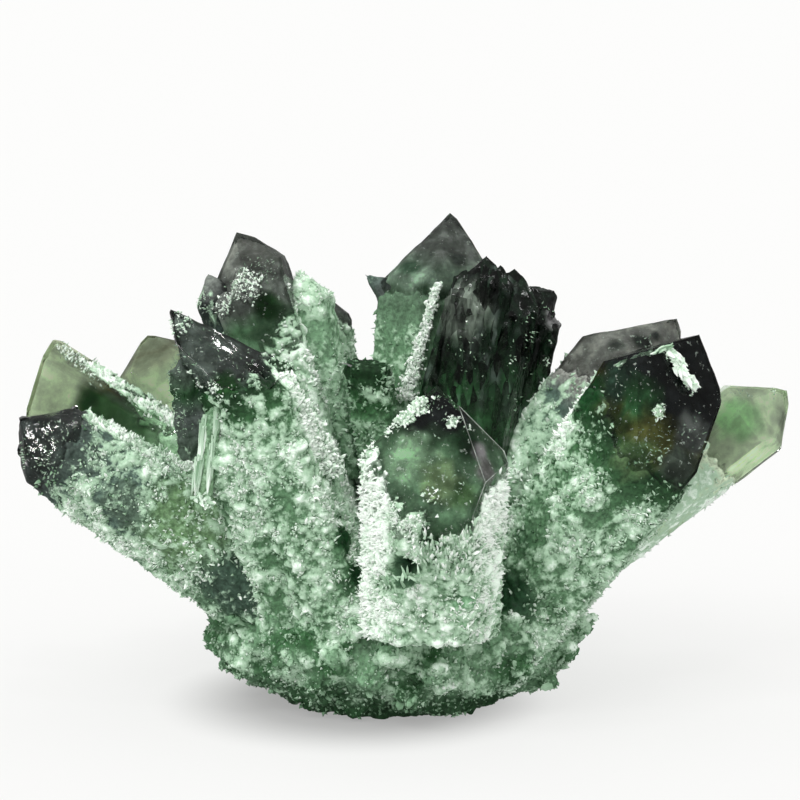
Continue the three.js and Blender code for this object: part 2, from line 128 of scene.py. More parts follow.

# How each crystal looks. stops: the colour at distances below its tip, in millimetres. clear: how far down the tip is
# clear. snow: where that differs round the crystal, as azimuth and distance. side and tipInset: how deep the phantom
# stands under the clear faces. ripple: unevenness of those faces. voxel: fineness of its skin. fade: over what
# distance the druse thickens. knobs: height of its lumps. druse: how thick its needles stand. white: how far it is
# frosted over. crests: azimuth, half width and strength of its thick rows, and from where to where below the tip.
# rim and its side: thickness of the pale lines on the tip's edges, which are a painted highlight, and between which
# azimuths. bevel: how worn the edges are.
plainLook = dict(side=0.5, tipInset=0.5, crests=[])
looks = {
    "front": dict(stops=[(4.0, charcoal), (5.6, midGreen), (9, softGreen), (12, softGreen), (15, midGreen)],
        clear=15.5, side=0.6, glass="clear", ripple=0.05, rim=0.07, rimSide=(5, 130), snow=[(-180, 8), (-78, 8.5),
        (-52, 10), (-25, 13.4), (5, 15.2), (28, 14), (48, 11.5), (75, 10), (180, 8)], voxel=0.25, fade=1.5, druse=1.0,
        white=0.7, crests=[(-66, 26, 1.0, 6, 19), (-72, 24, 0.55, 19, 70), (66, 26, 1.0, 8, 18),
        (58, 20, 0.8, 19, 25), (70, 16, 0.4, 0, 70), (180, 40, 0.6, 0, 70)]),
    "left": dict(stops=[(0, smoke), (2.5, slateGrey), (7, slateGrey), (9.5, smoke), (11.5, darkGreen), (15, deepGreen),
        (20, midGreen)], clear=10.5, side=0.4, tipInset=0.4, glass="smoky", ripple=0.26, voxel=0.25, fade=4, druse=1.0,
        white=0.62, crests=[(62, 10, 1.0, 9, 26)]),
    "lowLeft": dict(stops=[(0, smoke), (4, (0.04, 0.05, 0.046)), (8, smoke), (11, slate), (20, slate),
        (27, softGreen), (40, midGreen)], clear=8, side=0.4, glass="smoky", ripple=0.16, bevel=0.5, voxel=0.26, fade=5,
        druse=0.9, white=0.56, crests=[(95, 18, 0.45, 0, 70)]),
    "paleLeft": dict(stops=[(13, paleOlive), (16, olive), (19, darkGreen), (27, deepGreen), (60, midGreen)], clear=15,
        tipInset=0.4, glass="olive", ripple=0.05, snow=[(-180, 15), (-40, 22), (20, 27), (55, 20), (78, 13), (120, 13),
        (180, 15)], fade=4, druse=0.7, white=0.6, crests=[(82, 14, 0.35, 12, 70)]),
    "paleBackLeft": dict(stops=[(0, paleOlive), (3, (0.3, 0.33, 0.22)), (5.5, paleOlive), (8, palest), (12, palest),
        (15, softGreen), (60, midGreen)], clear=12, tipInset=0.4, glass="olive", ripple=0.05, knobs=0.5, druse=0.5,
        white=0.46),
    "tallLeft": dict(stops=[(0, paleAsh), (7, ash), (9.5, ash), (12, midGreen), (16, softGreen)], clear=11,
        glass="grey", ripple=0.12, snow=[(-180, 16), (-60, 16), (20, 14), (50, 10), (120, 9), (180, 16)], druse=0.5,
        white=0.78),
    "behindLeft": dict(stops=[(0, paleAsh), (3, ash), (6, softGreen)], clear=4, glass="grey", ripple=0.05, druse=0.4,
        white=0.66),
    "tallMiddle": dict(stops=[(5.5, ash), (8.4, (0.48, 0.66, 0.5)), (10.4, (0.44, 0.62, 0.46)),
        (11.4, (0.14, 0.25, 0.15)), (22, midGreen), (60, softGreen)], clear=11, side=0.6, glass="grey", ripple=0.12,
        knobs=0.35, fade=8, druse=0.08, white=0.27),
    "right": dict(stops=[(9, charcoal), (11.5, olive), (15, darkGreen), (19, deepGreen), (26, midGreen)], clear=14,
        tipInset=0.4, glass="smoky", ripple=0.12, snow=[(-180, 15), (-80, 12), (-40, 14), (0, 15.5), (40, 16.5),
        (100, 15), (180, 15)], voxel=0.26, fade=8, druse=0.7, white=0.45, crests=[(-78, 15, 0.6, 0, 70)]),
    "backRight": dict(stops=[(15, paleAsh), (18, slate), (26, softGreen)], clear=14, tipInset=0.4, glass="grey",
        ripple=0.1, knobs=0.5, fade=5, druse=0.4, white=0.6),
    "farRight": dict(stops=[(13, palest), (22, paleGreen), (60, softGreen)], clear=13, side=0.6, glass="green",
        ripple=0.08, knobs=0.2, fade=5, druse=0.12, white=0.8),
    "middleStub": dict(stops=[(0, deepGreen), (2, darkGreen), (6, darkGreen), (9, deepGreen), (12, midGreen)],
        clear=2.5, fade=6, side=0.4, glass="green", ripple=0.05, druse=0.4, white=0.3),
    "backUpper": dict(stops=[(6, charcoal), (9, darkGreen), (14, deepGreen), (20, midGreen)], clear=9, glass="smoky",
        ripple=0.12, druse=1.0, white=0.5, crests=[(90, 18, 0.8, 0, 70), (-90, 18, 0.8, 0, 70)]),
    "backLower": dict(stops=[(6, paleOlive), (11, deepGreen), (18, midGreen)], clear=9, glass="olive", ripple=0.08,
        druse=0.9, white=0.42, crests=[(150, 18, 0.7, 0, 70)]),
    "backLeft": dict(stops=[(5, ash), (9, deepGreen), (16, midGreen), (60, softGreen)], clear=8, glass="grey",
        ripple=0.08, druse=1.0, white=0.48, crests=[(120, 18, 0.8, 0, 70)]),
    "backRightLow": dict(stops=[(0, ash), (6, slate), (10, deepGreen), (17, midGreen)], clear=9, glass="green",
        ripple=0.08, druse=0.9, white=0.46, crests=[(-120, 18, 0.8, 0, 70)]),
}
looks = {name: {**plainLook, **look} for name, look in looks.items()}

# Side crystals that the druse covers to their tips, in the same terms.
coveredLook = dict(clear=-4, side=0.3, tipInset=0.3, glass="clear", ripple=0, crests=[])
covered = {
    "tallLeftWing": dict(stops=[(0, softGreen)], knobs=0.5, druse=0.5, white=0.5),
    "leftShoulder": dict(stops=[(9, midGreen), (60, deepGreen)], druse=0.8, white=0.55),
}
covered = {name: {**coveredLook, **look} for name, look in covered.items()}

# Patches of another colour on each crystal, some of them painted shade in the gaps between crystals: their middle,
# radius, colour, and how bare of druse they are.
patches = {
    "front": [((8.3, -29.6, 39.5), 2.6, (0.012, 0.045, 0.016), 0), ((9.9, -29.0, 38.2), 1.5, (0.3, 0.29, 0.3), 0),
        ((10.3, -29.6, 35.8), 1.6, (0.27, 0.27, 0.26), 0), ((1.2, -30.6, 37.4), 3.6, (0.4, 0.64, 0.4), 0),
        ((4.8, -31.2, 34.9), 2.8, (0.4, 0.6, 0.3), 0), ((7.6, -31.6, 33.4), 2.0, (0.1, 0.2, 0.08), 0),
        ((8.6, -27.4, 18.4), 3.2, (0.17, 0.36, 0.19), 0.4), ((0.3, -29.3, 23.4), 2.5, (0.012, 0.045, 0.02), 1)],
    "right": [((26.6, -15.4, 44.2), 3.0, (0.05, 0.11, 0.07), 0), ((29.8, -17.8, 42.4), 3.4, (0.05, 0.17, 0.06), 0),
        ((23.6, -13.2, 42.6), 2.6, (0.012, 0.08, 0.02), 1), ((21.8, -13.4, 40.4), 1.9, (0.012, 0.08, 0.02), 1),
        ((31.4, -18.9, 37.8), 4.0, (0.2, 0.22, 0.06), 0.2), ((29.0, -19.4, 35.4), 3.2, (0.12, 0.22, 0.09), 0.4),
        ((36.6, -16.2, 38.0), 3.0, (0.18, 0.2, 0.185), 0.6), ((34.6, -18.0, 34.4), 3.0, (0.1, 0.13, 0.1), 0.5),
        # the two on 'right' at (14.5, -13.0) are painted shade in the gap beside the front crystal
        ((14.5, -13.0, 17), 3.4, (0.02, 0.065, 0.028), 0.8), ((14.5, -13.0, 24), 2.4, (0.03, 0.09, 0.04), 0.6)],
    "left": [((-21.5, -20.0, 45.0), 1.9, (0.018, 0.085, 0.018), 0.8),
        ((-17.1, -16.6, 46.2), 2.2, (0.008, 0.02, 0.012), 0.9),
        # the two on 'left' at x -6.8 are painted shade in the gap beside the front crystal
        ((-26.4, -16.0, 43.0), 2.0, (0.03, 0.06, 0.04), 0.6), ((-6.8, -14.6, 24.5), 2.3, (0.008, 0.05, 0.014), 1),
        ((-6.8, -13.6, 19.5), 2.5, (0.008, 0.05, 0.014), 1)],
    "lowLeft": [((-26.0, -11.4, 26.0), 8.0, (0.14, 0.25, 0.12), 0.38),
        ((-21.0, -11.4, 17.0), 7.0, (0.045, 0.085, 0.058), 0.5),
        ((-39.6, -12.4, 33.4), 3.4, (0.07, 0.105, 0.085), 0.25),
        ((-35.0, -12.4, 28.4), 3.4, (0.075, 0.12, 0.085), 0.25)],
    # the wedge on 'paleLeft' runs from dark to pale green; its dark end is painted shade in the gap above lowLeft
    "paleLeft": [((-40.0, 1.0, 39.0), 3.0, (0.012, 0.06, 0.012), 0.4),
        ((-37.0, 1.0, 37.6), 3.4, (0.06, 0.15, 0.055), 0.4), ((-33.6, 0.8, 35.8), 3.4, (0.1, 0.22, 0.1), 0.6),
        ((-30.2, 0.6, 33.6), 3.8, (0.36, 0.6, 0.36), 0.4)],
    "farRight": [((44.0, 0.4, 37.6), 3.8, (0.48, 0.82, 0.42), 0), ((52.3, 2.6, 36.6), 4.0, (0.34, 0.39, 0.3), 0)],
    "tallMiddle": [((7.6, 8.8, 57.0), 1.6, (0.06, 0.08, 0.064), 0), ((1.6, 8.6, 55.4), 2.2, (0.1, 0.2, 0.12), 0)],
    "backRight": [((31.4, 0.6, 47.4), 1.7, (0.035, 0.045, 0.038), 0),
        ((33.4, 1.6, 48.2), 1.2, (0.025, 0.03, 0.028), 0), ((28.0, 0.4, 46.4), 1.4, (0.1, 0.12, 0.1), 0),
        ((35.4, 3.6, 49.2), 1.1, (0.62, 0.64, 0.56), 0)],
    "tallLeft": [((-17.4, 1.4, 51.6), 2.5, (0.012, 0.06, 0.012), 0),
        ((-22.6, 1.4, 54.6), 1.2, (0.02, 0.06, 0.05), 0)],
    "bundle": [((7.6, -2.6, 52.0), 4.4, (0.085, 0.105, 0.085), 0), ((20.4, 4.5, 50.0), 1.8, (0.1, 0.1, 0.1), 0)],
}

# Pale crusts on the clear faces of each crystal, and white grains that are painted glints: their middle, radius and
# thickness of growth.
crustsAndGlints = {
    "front": [((0.6, -28.0, 42.2), 1.5, 1.0), ((2.2, -28.2, 43.6), 1.3, 1.0), ((-1.4, -27.4, 40.6), 1.0, 0.8),
        ((6.3, -28.9, 41.8), 0.9, 1.0), ((8.2, -29.0, 41.2), 0.7, 0.6), ((-3.6, -26.9, 37.4), 1.5, 0.9),
        ((-2.0, -29.4, 34.0), 1.3, 0.9), ((-0.8, -31.2, 31.4), 1.5, 1.0), ((1.8, -31.8, 30.0), 1.6, 0.9),
        ((5.4, -28.7, 43.4), 2.4, 0.12), ((3.6, -31.7, 33.4), 1.2, 0.5), ((1.6, -30.4, 37.6), 3.8, 0.16),
        ((5.6, -31.2, 35.0), 3.0, 0.14)],
    "tallLeft": [((-20.0, 0.6, 54.9), 2.5, 0.75), ((-23.1, 1.2, 52.2), 1.7, 0.6), ((-18.0, 2.6, 57.0), 2.2, 0.2)],
    "tallLeftStep": [((-25.6, 2.6, 52.0), 1.8, 0.3)],
    "paleLeft": [((-44.2, 6.7, 45.4), 1.3, 0.7), ((-42.6, 5.8, 44.2), 1.8, 0.5), ((-40.4, 5.0, 42.4), 2.2, 0.4)],
    # on 'left' the two wide, thin spots, round (-24.5, -16.5, 48.0) and (-19, -17.0, 46.5), are painted glints; the
    # others are crusts
    "left": [((-27.2, -15.2, 52.0), 1.5, 0.45), ((-24.5, -16.5, 48.0), 4.5, 0.06), ((-19, -17.0, 46.5), 4.0, 0.05),
        ((-22.4, -19.4, 44.0), 1.4, 0.5), ((-25.6, -16.6, 45.0), 1.4, 0.4)],
    "leftFlank": [((-28.0, -14.6, 41.0), 3.4, 0.16), ((-28.2, -14.8, 46.0), 2.4, 0.16)],
    "right": [((32.1, -17.3, 41.0), 1.1, 0.9), ((33.4, -13.4, 47.4), 1.2, 0.5), ((36.2, -14.2, 43.4), 0.9, 0.5),
        ((31.0, -18.2, 37.0), 2.8, 0.14), ((36.4, -16.4, 38.2), 2.6, 0.1), ((27.6, -16.4, 43.6), 2.6, 0.08)],
    "farRight": [((49.3, 4.5, 39.8), 0.8, 0.3), ((44.6, 2.8, 40.4), 1.4, 0.2)],
    "lowLeft": [((-43.4, -11.6, 37.4), 2.2, 0.24), ((-44.2, -13.2, 34.3), 2.2, 0.24),
        ((-46.6, -10.6, 35.4), 2.6, 0.1)],
    "backRight": [((31.8, 0.8, 47.4), 1.6, 0.1)],
    # on the dark bundle ('dark' to 'darkStepLow') all these white grains are painted glints
    "dark": [((8.4, -4.9, 50.6), 0.8, 0.7), ((10.4, -4.6, 54.6), 1.0, 0.3), ((7.0, -4.6, 49.8), 0.6, 0.5),
        ((9.2, -4.6, 46.6), 3.4, 0.05)],
    "darkMiddle": [((12.8, -1.9, 52.5), 0.8, 0.5), ((14.4, -2.4, 50.6), 0.7, 0.4), ((15.4, -2.5, 49.0), 3.2, 0.06),
        ((14.0, -2.6, 45.4), 0.6, 0.4), ((14.6, -2.6, 42.0), 3.0, 0.04)],
    "darkRight": [((18.6, 3.1, 49.0), 2.8, 0.06)],
    "darkStepLow": [((19.0, 2.8, 44.6), 0.7, 0.4), ((19.6, 2.9, 46.8), 0.5, 0.4)],
}


def chance(index, draw):
    # the same number from 0 to 1 for the same pair of whole numbers
    wave = math.sin(index * 12.9898 + draw * 78.233) * 43758.5453
    return wave - math.floor(wave)


def frameAlong(direction, point):
    # +Z along the crystal, +X as nearly towards the viewer as it can be
    up = direction.normalized()
    out = (viewerSide - up * viewerSide.dot(up)).normalized()
    return Matrix.Translation(point) @ Matrix((out, up.cross(out), up)).transposed().to_4x4()


def slicePlane(bm, normal, offset, clear=False):
    bmesh.ops.bisect_plane(bm, geom=bm.verts[:] + bm.edges[:] + bm.faces[:], dist=1e-4, plane_co=normal * offset,
                           plane_no=normal, clear_outer=clear)


def triangulate(bm):
    bmesh.ops.triangulate(bm, faces=bm.faces[:])


def move(bm, matrix):
    bmesh.ops.transform(bm, matrix=matrix, verts=bm.verts[:])


class Crystal:
    # A crystal's planes in its own frame: what each one is, its normal and its offset.
    def __init__(self, name, values, seed):
        full = {**habit, **values}
        self.name, self.seed, self.width, self.lean = name, seed, full["width"], full["lean"]
        root, tip = Vector(full["root"]), Vector(full["tip"])
        self.frame = frameAlong(tip - root, root)
        self.length = (tip - root).length
        apothem = full["width"] / 2
        slope = math.radians(full["tipFaceAngle"])
        shoulder = self.length - apothem / math.tan(slope)
        flare = math.atan2(apothem * (1 - full["narrow"]), shoulder)
        rows = [("root", (0, 0, -1), 0.0)]
        for side in range(full["sides"]):
            angle = math.radians(full["turn"] + 360 * side / full["sides"])
            outward = Vector((math.cos(angle), math.sin(angle), 0))
            reach = apothem * (1 + full["unevenSides"] * (chance(seed, side) - 0.5))
            onSide = Vector((*self.lean, shoulder)) + outward * reach
            normal = outward * math.cos(flare) - Vector((0, 0, math.sin(flare)))
            rows.append(("side", tuple(normal), normal.dot(onSide)))
            normal = outward * math.cos(slope) + Vector((0, 0, math.sin(slope)))
            apex = Vector((0, full["ridge"] if outward.y > 0 else 0, self.length))
            apex += normal * (full["minor"] if side % 2 else 0)
            rows.append(("tip", tuple(normal), normal.dot(apex)))
        if "blunt" in full:
            at, facing = full["blunt"]
            normal = (self.frame.to_3x3().transposed() @ Vector(facing)).normalized()
            rows.append(("tip", tuple(normal), normal.dot(self.frame.inverted() @ Vector(at))))
        self.kinds, normals, offsets = zip(*rows)
        self.normals, self.offsets = np.array(normals), np.array(offsets)
        self.turned = np.array(self.frame.to_3x3())
        self.origin = np.array(self.frame.translation)

    def turn(self, ways):
        return ways @ self.turned.T

    def toWorld(self, points):
        return self.turn(points) + self.origin

    def toLocal(self, points):
        return (points - self.origin) @ self.turned

    def depths(self, points):
        # how far each point is inside each plane
        return self.offsets - points @ self.normals.T

    def below(self, points):
        # how far each point is below the tip
        return self.length - points[:, 2]

    def hull(self, sideInset=0.0, tipInset=0.0, low=None):
        # The closed faceted shape within the planes, each moved in by its inset, from the low end upwards.
        bm = bmesh.new()
        bmesh.ops.create_cube(bm, size=4 * self.length)
        inset = {"root": 0.0, "side": sideInset, "tip": tipInset}
        cuts = [(Vector(n), d - inset[kind]) for kind, n, d in zip(self.kinds, self.normals, self.offsets)]
        if low is not None:
            cuts.append((Vector((0, 0, -1)), -low))
        for normal, offset in cuts:
            slicePlane(bm, normal, offset, True)
            rim = [edge for edge in bm.edges if edge.is_boundary]
            if rim:
                bmesh.ops.edgeloop_fill(bm, edges=rim)
        bmesh.ops.remove_doubles(bm, verts=bm.verts[:], dist=1e-3)
        bmesh.ops.recalc_face_normals(bm, faces=bm.faces[:])
        return bm


crystals = {}
for seed, (name, row) in enumerate(crystalRows.items()):
    crystals[name] = Crystal(name, {**dict(zip(columns, row)), **special.get(name, {})}, seed)
print("crystals laid out:", len(crystals))


# Small helpers for nodes, meshes and noise
def plug(tree, socket, value):
    if isinstance(value, bpy.types.NodeSocket):
        tree.links.new(value, socket)
    else:
        socket.default_value = value


def newMaterial(name, principled):
    material = bpy.data.materials.new(name)
    material.use_nodes = True
    shader = material.node_tree.nodes["Principled BSDF"]
    for key, value in principled.items():
        plug(material.node_tree, shader.inputs[key], value)
    return material, material.node_tree, shader


def addNode(tree, kind, inputs={}, **settings):
    node = tree.nodes.new(kind)
    for key, value in settings.items():
        setattr(node, key, value)
    for key, value in inputs.items():
        plug(tree, node.inputs[key], value)
    return node


def objectPlace(tree):
    return addNode(tree, "ShaderNodeTexCoord").outputs["Object"]


def attribute(tree, name, output="Fac"):
    return addNode(tree, "ShaderNodeAttribute", attribute_name=name).outputs[output]


def noiseNode(tree, scale, detail, roughness, distortion=0.0, vector=None):
    return addNode(tree, "ShaderNodeTexNoise", {
        "Vector": objectPlace(tree) if vector is None else vector, "Scale": scale, "Detail": detail,
        "Roughness": roughness, "Distortion": distortion}).outputs["Fac"]


def rampNode(tree, value, stops):
    node = addNode(tree, "ShaderNodeValToRGB", {"Fac": value})
    elements = node.color_ramp.elements
    while len(elements) < len(stops):
        elements.new(0.5)
    for element, (place, colour) in zip(elements, stops):
        element.position = place
        element.color = (*colour, 1) if isinstance(colour, tuple) else (colour, colour, colour, 1)
    return node.outputs["Color"]


def mathNode(tree, operation, *values):
    return addNode(tree, "ShaderNodeMath", dict(enumerate(values)), operation=operation).outputs[0]


def rangeNode(tree, value, start, end, low=0.0, high=1.0, kind="LINEAR"):
    return addNode(tree, "ShaderNodeMapRange", {"Value": value, "From Min": start, "From Max": end, "To Min": low,
                                                "To Max": high}, interpolation_type=kind).outputs["Result"]


def stepNode(tree, value, start, end):
    return rangeNode(tree, value, start, end, kind="SMOOTHSTEP")


def mixColour(tree, share, first, second, blend="MIX"):
    node = addNode(tree, "ShaderNodeMix", data_type="RGBA", blend_type=blend)
    for index, value in ((0, share), (6, first), (7, second)):
        plug(tree, node.inputs[index], (*value, 1) if isinstance(value, tuple) else value)
    return node.outputs[2]


def bumpFrom(tree, shader, height, strength, distance):
    bump = addNode(tree, "ShaderNodeBump", {"Height": height, "Strength": strength, "Distance": distance * mm})
    plug(tree, shader.inputs["Normal"], bump.outputs["Normal"])


def noiseAt(points, scale, shift=0.0):
    # noise from -1 to 1 at points in millimetres, with lumps about as big as scale
    place = np.asarray(points) / scale + shift
    return np.array([noise.noise(Vector(point)) for point in place])


def spread(limits, share):
    return limits[0] + (limits[1] - limits[0]) * share


def smoothStep(low, high, value):
    share = np.clip((value - low) / (high - low), 0, 1)
    return share * share * (3 - 2 * share)


def unit(ways):
    return ways / np.linalg.norm(ways, axis=1)[:, None]


def distance(points, middle):
    return np.linalg.norm(points - np.array(middle), axis=1)


def mixed(first, second, share):
    share = share[:, None]
    return np.array(first) * (1 - share) + np.array(second) * share


def blendStops(below, stops):
    at, colours = zip(*stops)
    return np.stack([np.interp(below, at, channel) for channel in zip(*colours)], axis=1)


def aboveFloor(points):
    return np.maximum(points, (-np.inf, -np.inf, 0.0))


def linked(name, data):
    thing = bpy.data.objects.new(name, data)
    bpy.context.scene.collection.objects.link(thing)
    return thing


def addPiece(name, mesh, points, material, attributes={}, smooth=True):
    # The points, in millimetres, go on the body as a piece that stands for the specimen.
    mesh.vertices.foreach_set("co", np.float32(points).astype(float).ravel() * mm)
    for key, values in attributes.items():
        kind, field = ("FLOAT", "value") if values.ndim == 1 else ("FLOAT_VECTOR", "vector")
        layer = mesh.attributes.new(key, kind, "POINT")
        layer.data.foreach_set(field, values.astype(np.float32).ravel())
    mesh.materials.append(material)
    mesh.polygons.foreach_set("use_smooth", np.full(len(mesh.polygons), smooth))
    mesh.update()
    piece = linked(name, mesh)
    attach(piece, "root")
    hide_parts(specimen)


def addFrosted(name, mesh, points, tint, frost):
    addPiece(name, mesh, points, frosted, {"tint": tint, "frost": frost})


def meshOf(bm, name):
    mesh = bpy.data.meshes.new(name)
    bm.to_mesh(mesh)
    bm.free()
    return mesh


def meshFromTriangles(name, count, triangles):
    mesh = bpy.data.meshes.new(name)
    mesh.vertices.add(count)
    mesh.loops.add(triangles.size)
    mesh.loops.foreach_set("vertex_index", triangles.ravel())
    mesh.polygons.add(len(triangles))
    mesh.polygons.foreach_set("loop_start", np.arange(0, triangles.size, 3))
    mesh.update(calc_edges=True)
    return mesh


def fused(bm, voxel, name):
    # One even skin over all the closed shells in the bmesh.
    rough = linked(name, meshOf(bm, name))
    remesh = rough.modifiers.new("fuse", "REMESH")
    remesh.mode = "VOXEL"
    remesh.voxel_size = voxel
    evaluated = rough.evaluated_get(bpy.context.evaluated_depsgraph_get())
    mesh = bpy.data.meshes.new_from_object(evaluated)
    bpy.data.objects.remove(rough)
    return mesh


def meshPoints(mesh):
    found = np.empty((2, len(mesh.vertices) * 3))
    for row, key in zip(found, ("co", "normal")):
        mesh.vertices.foreach_get(key, row)
    return found.reshape(2, -1, 3)


def wholeNumbers(items, key):
    values = np.empty(len(items), dtype=np.int32)
    items.foreach_get(key, values)
    return values


def joinInto(bm, other):
    mesh = meshOf(other, "part")
    bm.from_mesh(mesh)
    bpy.data.meshes.remove(mesh)


# Frosted body: green in the hollows, mint and white on what stands out.
bodyFinish = {
    "roughness": 0.5,
    "mint": (0.38, 0.55, 0.39),
    "pale": (0.8, 0.92, 0.81),
    "mottleScale": 540,
    "grainScale": 1900,
    "spread": 2.0,
    "bump": 0.2,
}


def frostedMaterial():
    material, tree, shader = newMaterial("frostedPhantomQuartz", {
        "Roughness": bodyFinish["roughness"], "IOR": 1.45, "Specular IOR Level": 0.3})
    mottle = noiseNode(tree, bodyFinish["mottleScale"], 5, 0.7, 0.3)
    grain = noiseNode(tree, bodyFinish["grainScale"], 2, 0.6)
    height = mathNode(tree, "MULTIPLY_ADD", grain, 0.35, mathNode(tree, "MULTIPLY", mottle, 0.65))
    varied = mathNode(tree, "MULTIPLY", mathNode(tree, "SUBTRACT", height, 0.5), bodyFinish["spread"])
    frosty = mathNode(tree, "ADD", varied, attribute(tree, "frost"))
    tone = rampNode(tree, grain, [(0.35, 0.65), (0.5, 0.95), (0.65, 1.25)])
    colour = mixColour(tree, 1.0, attribute(tree, "tint", "Vector"), tone, "MULTIPLY")
    colour = mixColour(tree, stepNode(tree, frosty, 0.1, 0.5), colour, bodyFinish["mint"])
    colour = mixColour(tree, stepNode(tree, frosty, 0.48, 0.95), colour, bodyFinish["pale"])
    plug(tree, shader.inputs["Base Color"], colour)
    bumpFrom(tree, shader, height, 1.0, bodyFinish["bump"])
    return material


# The phantom seen through the clear faces: cloudy and dark, or milky.
phantomKinds = {
    "dark": dict(dim=0.5, bright=2.0, fleck=0.72),
    "milky": dict(dim=0.72, bright=1.35, fleck=0.84),
}
phantomOf = {"clear": "dark", "smoky": "dark", "grey": "dark", "green": "milky", "olive": "milky"}


def phantomMaterial(kind, dim, bright, fleck):
    material, tree, shader = newMaterial(kind + "Phantom", {
        "Roughness": 0.6, "IOR": 1.45, "Specular IOR Level": 0.05})
    cloud = noiseNode(tree, 380, 5, 0.62, 0.1)
    flecks = noiseNode(tree, 1500, 3, 0.6)
    tone = rampNode(tree, cloud, [(0.34, dim), (0.5, 1.0), (0.64, bright)])
    colour = mixColour(tree, 1.0, attribute(tree, "tint", "Vector"), tone, "MULTIPLY")
    frosty = mathNode(tree, "ADD", attribute(tree, "frost"), flecks)
    pale = mathNode(tree, "ADD", stepNode(tree, flecks, fleck - 0.1, fleck), stepNode(tree, frosty, 0.75, 1.1))
    pale = addNode(tree, "ShaderNodeClamp", {"Value": pale}).outputs["Result"]
    plug(tree, shader.inputs["Base Color"], mixColour(tree, pale, colour, bodyFinish["pale"]))
    bumpFrom(tree, shader, cloud, 0.3, 0.3)
    return material


# Clear quartz of the tips: the colour it takes on over its thickness.
glassKinds = {
    "clear": dict(colour=(0.8, 0.86, 0.8), density=120),
    "smoky": dict(colour=(0.4, 0.44, 0.42), density=480),
    "grey": dict(colour=(0.5, 0.55, 0.5), density=260),
    "green": dict(colour=(0.56, 0.72, 0.5), density=110),
    "olive": dict(colour=(0.64, 0.72, 0.5), density=200),
}
glassFinish = {"roughness": 0.04, "IOR": 1.5, "bump": 0.1}


def glassMaterial(kind, colour, density):
    material, tree, shader = newMaterial(kind + "ClearQuartz", {
        "Base Color": (1, 1, 1, 1), "Roughness": glassFinish["roughness"],
        "IOR": glassFinish["IOR"], "Transmission Weight": 1.0})
    bumpFrom(tree, shader, noiseNode(tree, 700, 3, 0.55, 0.6), 0.6, glassFinish["bump"])
    volume = addNode(tree, "ShaderNodeVolumeAbsorption", {"Color": (*colour, 1), "Density": density})
    output = next(node for node in tree.nodes if node.type == "OUTPUT_MATERIAL")
    plug(tree, output.inputs["Volume"], volume.outputs["Volume"])
    return material


# Druse needles: green at the root, white at the point, whiter where the growth is thick.
needleRoughness = 0.3
needleStops = [(0.0, (0.05, 0.125, 0.058)), (0.22, (0.19, 0.33, 0.2)), (0.55, (0.46, 0.62, 0.47)),
               (0.9, (0.88, 0.93, 0.88))]


def needleMaterial():
    material, tree, shader = newMaterial("druseQuartz", {"Roughness": needleRoughness, "IOR": 1.45})
    plug(tree, shader.inputs["Base Color"], rampNode(tree, attribute(tree, "whiteness"), needleStops))
    return material


# Black-green crystals of the bundle, glossy and stepped.
darkFinish = {"grain": (1, 1, 0.4), "slant": -0.12, "shardScale": 1000, "facetScale": 900, "roughness": (0.04, 0.3)}


def darkMaterial():
    material, tree, shader = newMaterial("blackGreenQuartz", {"IOR": 1.5})
    along = addNode(tree, "ShaderNodeMapping", {
        "Vector": objectPlace(tree), "Rotation": (0, darkFinish["slant"], 0), "Scale": darkFinish["grain"],
    }).outputs["Vector"]
    cells = addNode(tree, "ShaderNodeTexVoronoi", {"Vector": along, "Scale": darkFinish["shardScale"]})
    tone = addNode(tree, "ShaderNodeSeparateColor", {"Color": cells.outputs["Color"]}).outputs["Red"]
    veil = noiseNode(tree, 900, 3, 0.55, 0.0, along)
    shade = mathNode(tree, "MULTIPLY_ADD", tone, 0.4, mathNode(tree, "MULTIPLY", veil, 0.6))
    shade = rampNode(tree, shade, [(0.32, 0.1), (0.5, 0.7), (0.7, 2.3)])
    plug(tree, shader.inputs["Base Color"], mixColour(tree, 1.0, attribute(tree, "tint", "Vector"), shade, "MULTIPLY"))
    grain = noiseNode(tree, 1300, 3, 0.6)
    plug(tree, shader.inputs["Roughness"], rangeNode(tree, grain, 0.3, 0.7, *darkFinish["roughness"]))
    facets = addNode(tree, "ShaderNodeTexVoronoi", {"Vector": along, "Scale": darkFinish["facetScale"]})
    height = mathNode(tree, "MULTIPLY_ADD", grain, 0.3, facets.outputs["Distance"])
    bumpFrom(tree, shader, height, 0.7, 0.35)
    return material


frosted = frostedMaterial()
phantoms = {kind: phantomMaterial(kind, **values) for kind, values in phantomKinds.items()}
needleQuartz = needleMaterial()
darkQuartz = darkMaterial()
clearQuartz = {kind: glassMaterial(kind, **values) for kind, values in glassKinds.items()}
print("materials made")


# Crystals with a frosted body, a phantom and a clear tip
bodySkin = {"voxel": 0.32, "clump": 0.12, "nodule": 0.8, "veil": 1.1, "sunk": 0.36,
            "faceTone": (0.72, 1.32), "mostOff": 0.3}
# how much each of these adds to the frost on a body or takes from it
frostBy = {"base": -0.22, "clump": 0.3, "crest": 0.45, "nodule": 0.6, "bare": -0.25, "young": -0.55, "crustAndGlint": 1.3}
frostRange = (-0.5, 1.3)
tipSkin = {"bevel": 0.08, "pitch": 0.7, "overlap": 2.5, "sunk": 0.5, "sharpAngle": 20}
pit = {"at": (0.3, -29.3, 23.4), "radius": 2.7, "depth": 2.2}


def clumps(world):
    # where the pale growth stands thick, about -1 to 1, the same for the skin and for what grows on it
    return noiseAt(world, 5.2, 3.3) + noiseAt(world, 2.2, 1.7) + 0.8 * noiseAt(world, 1.0, 9.2)


def nodules(world):
    # rounded bumps with creases between them, 0 in the creases and about 0.7 on top
    return np.abs(noiseAt(world, 1.5, 4.1)) + 0.6 * np.abs(noiseAt(world, 0.72, 6.6))


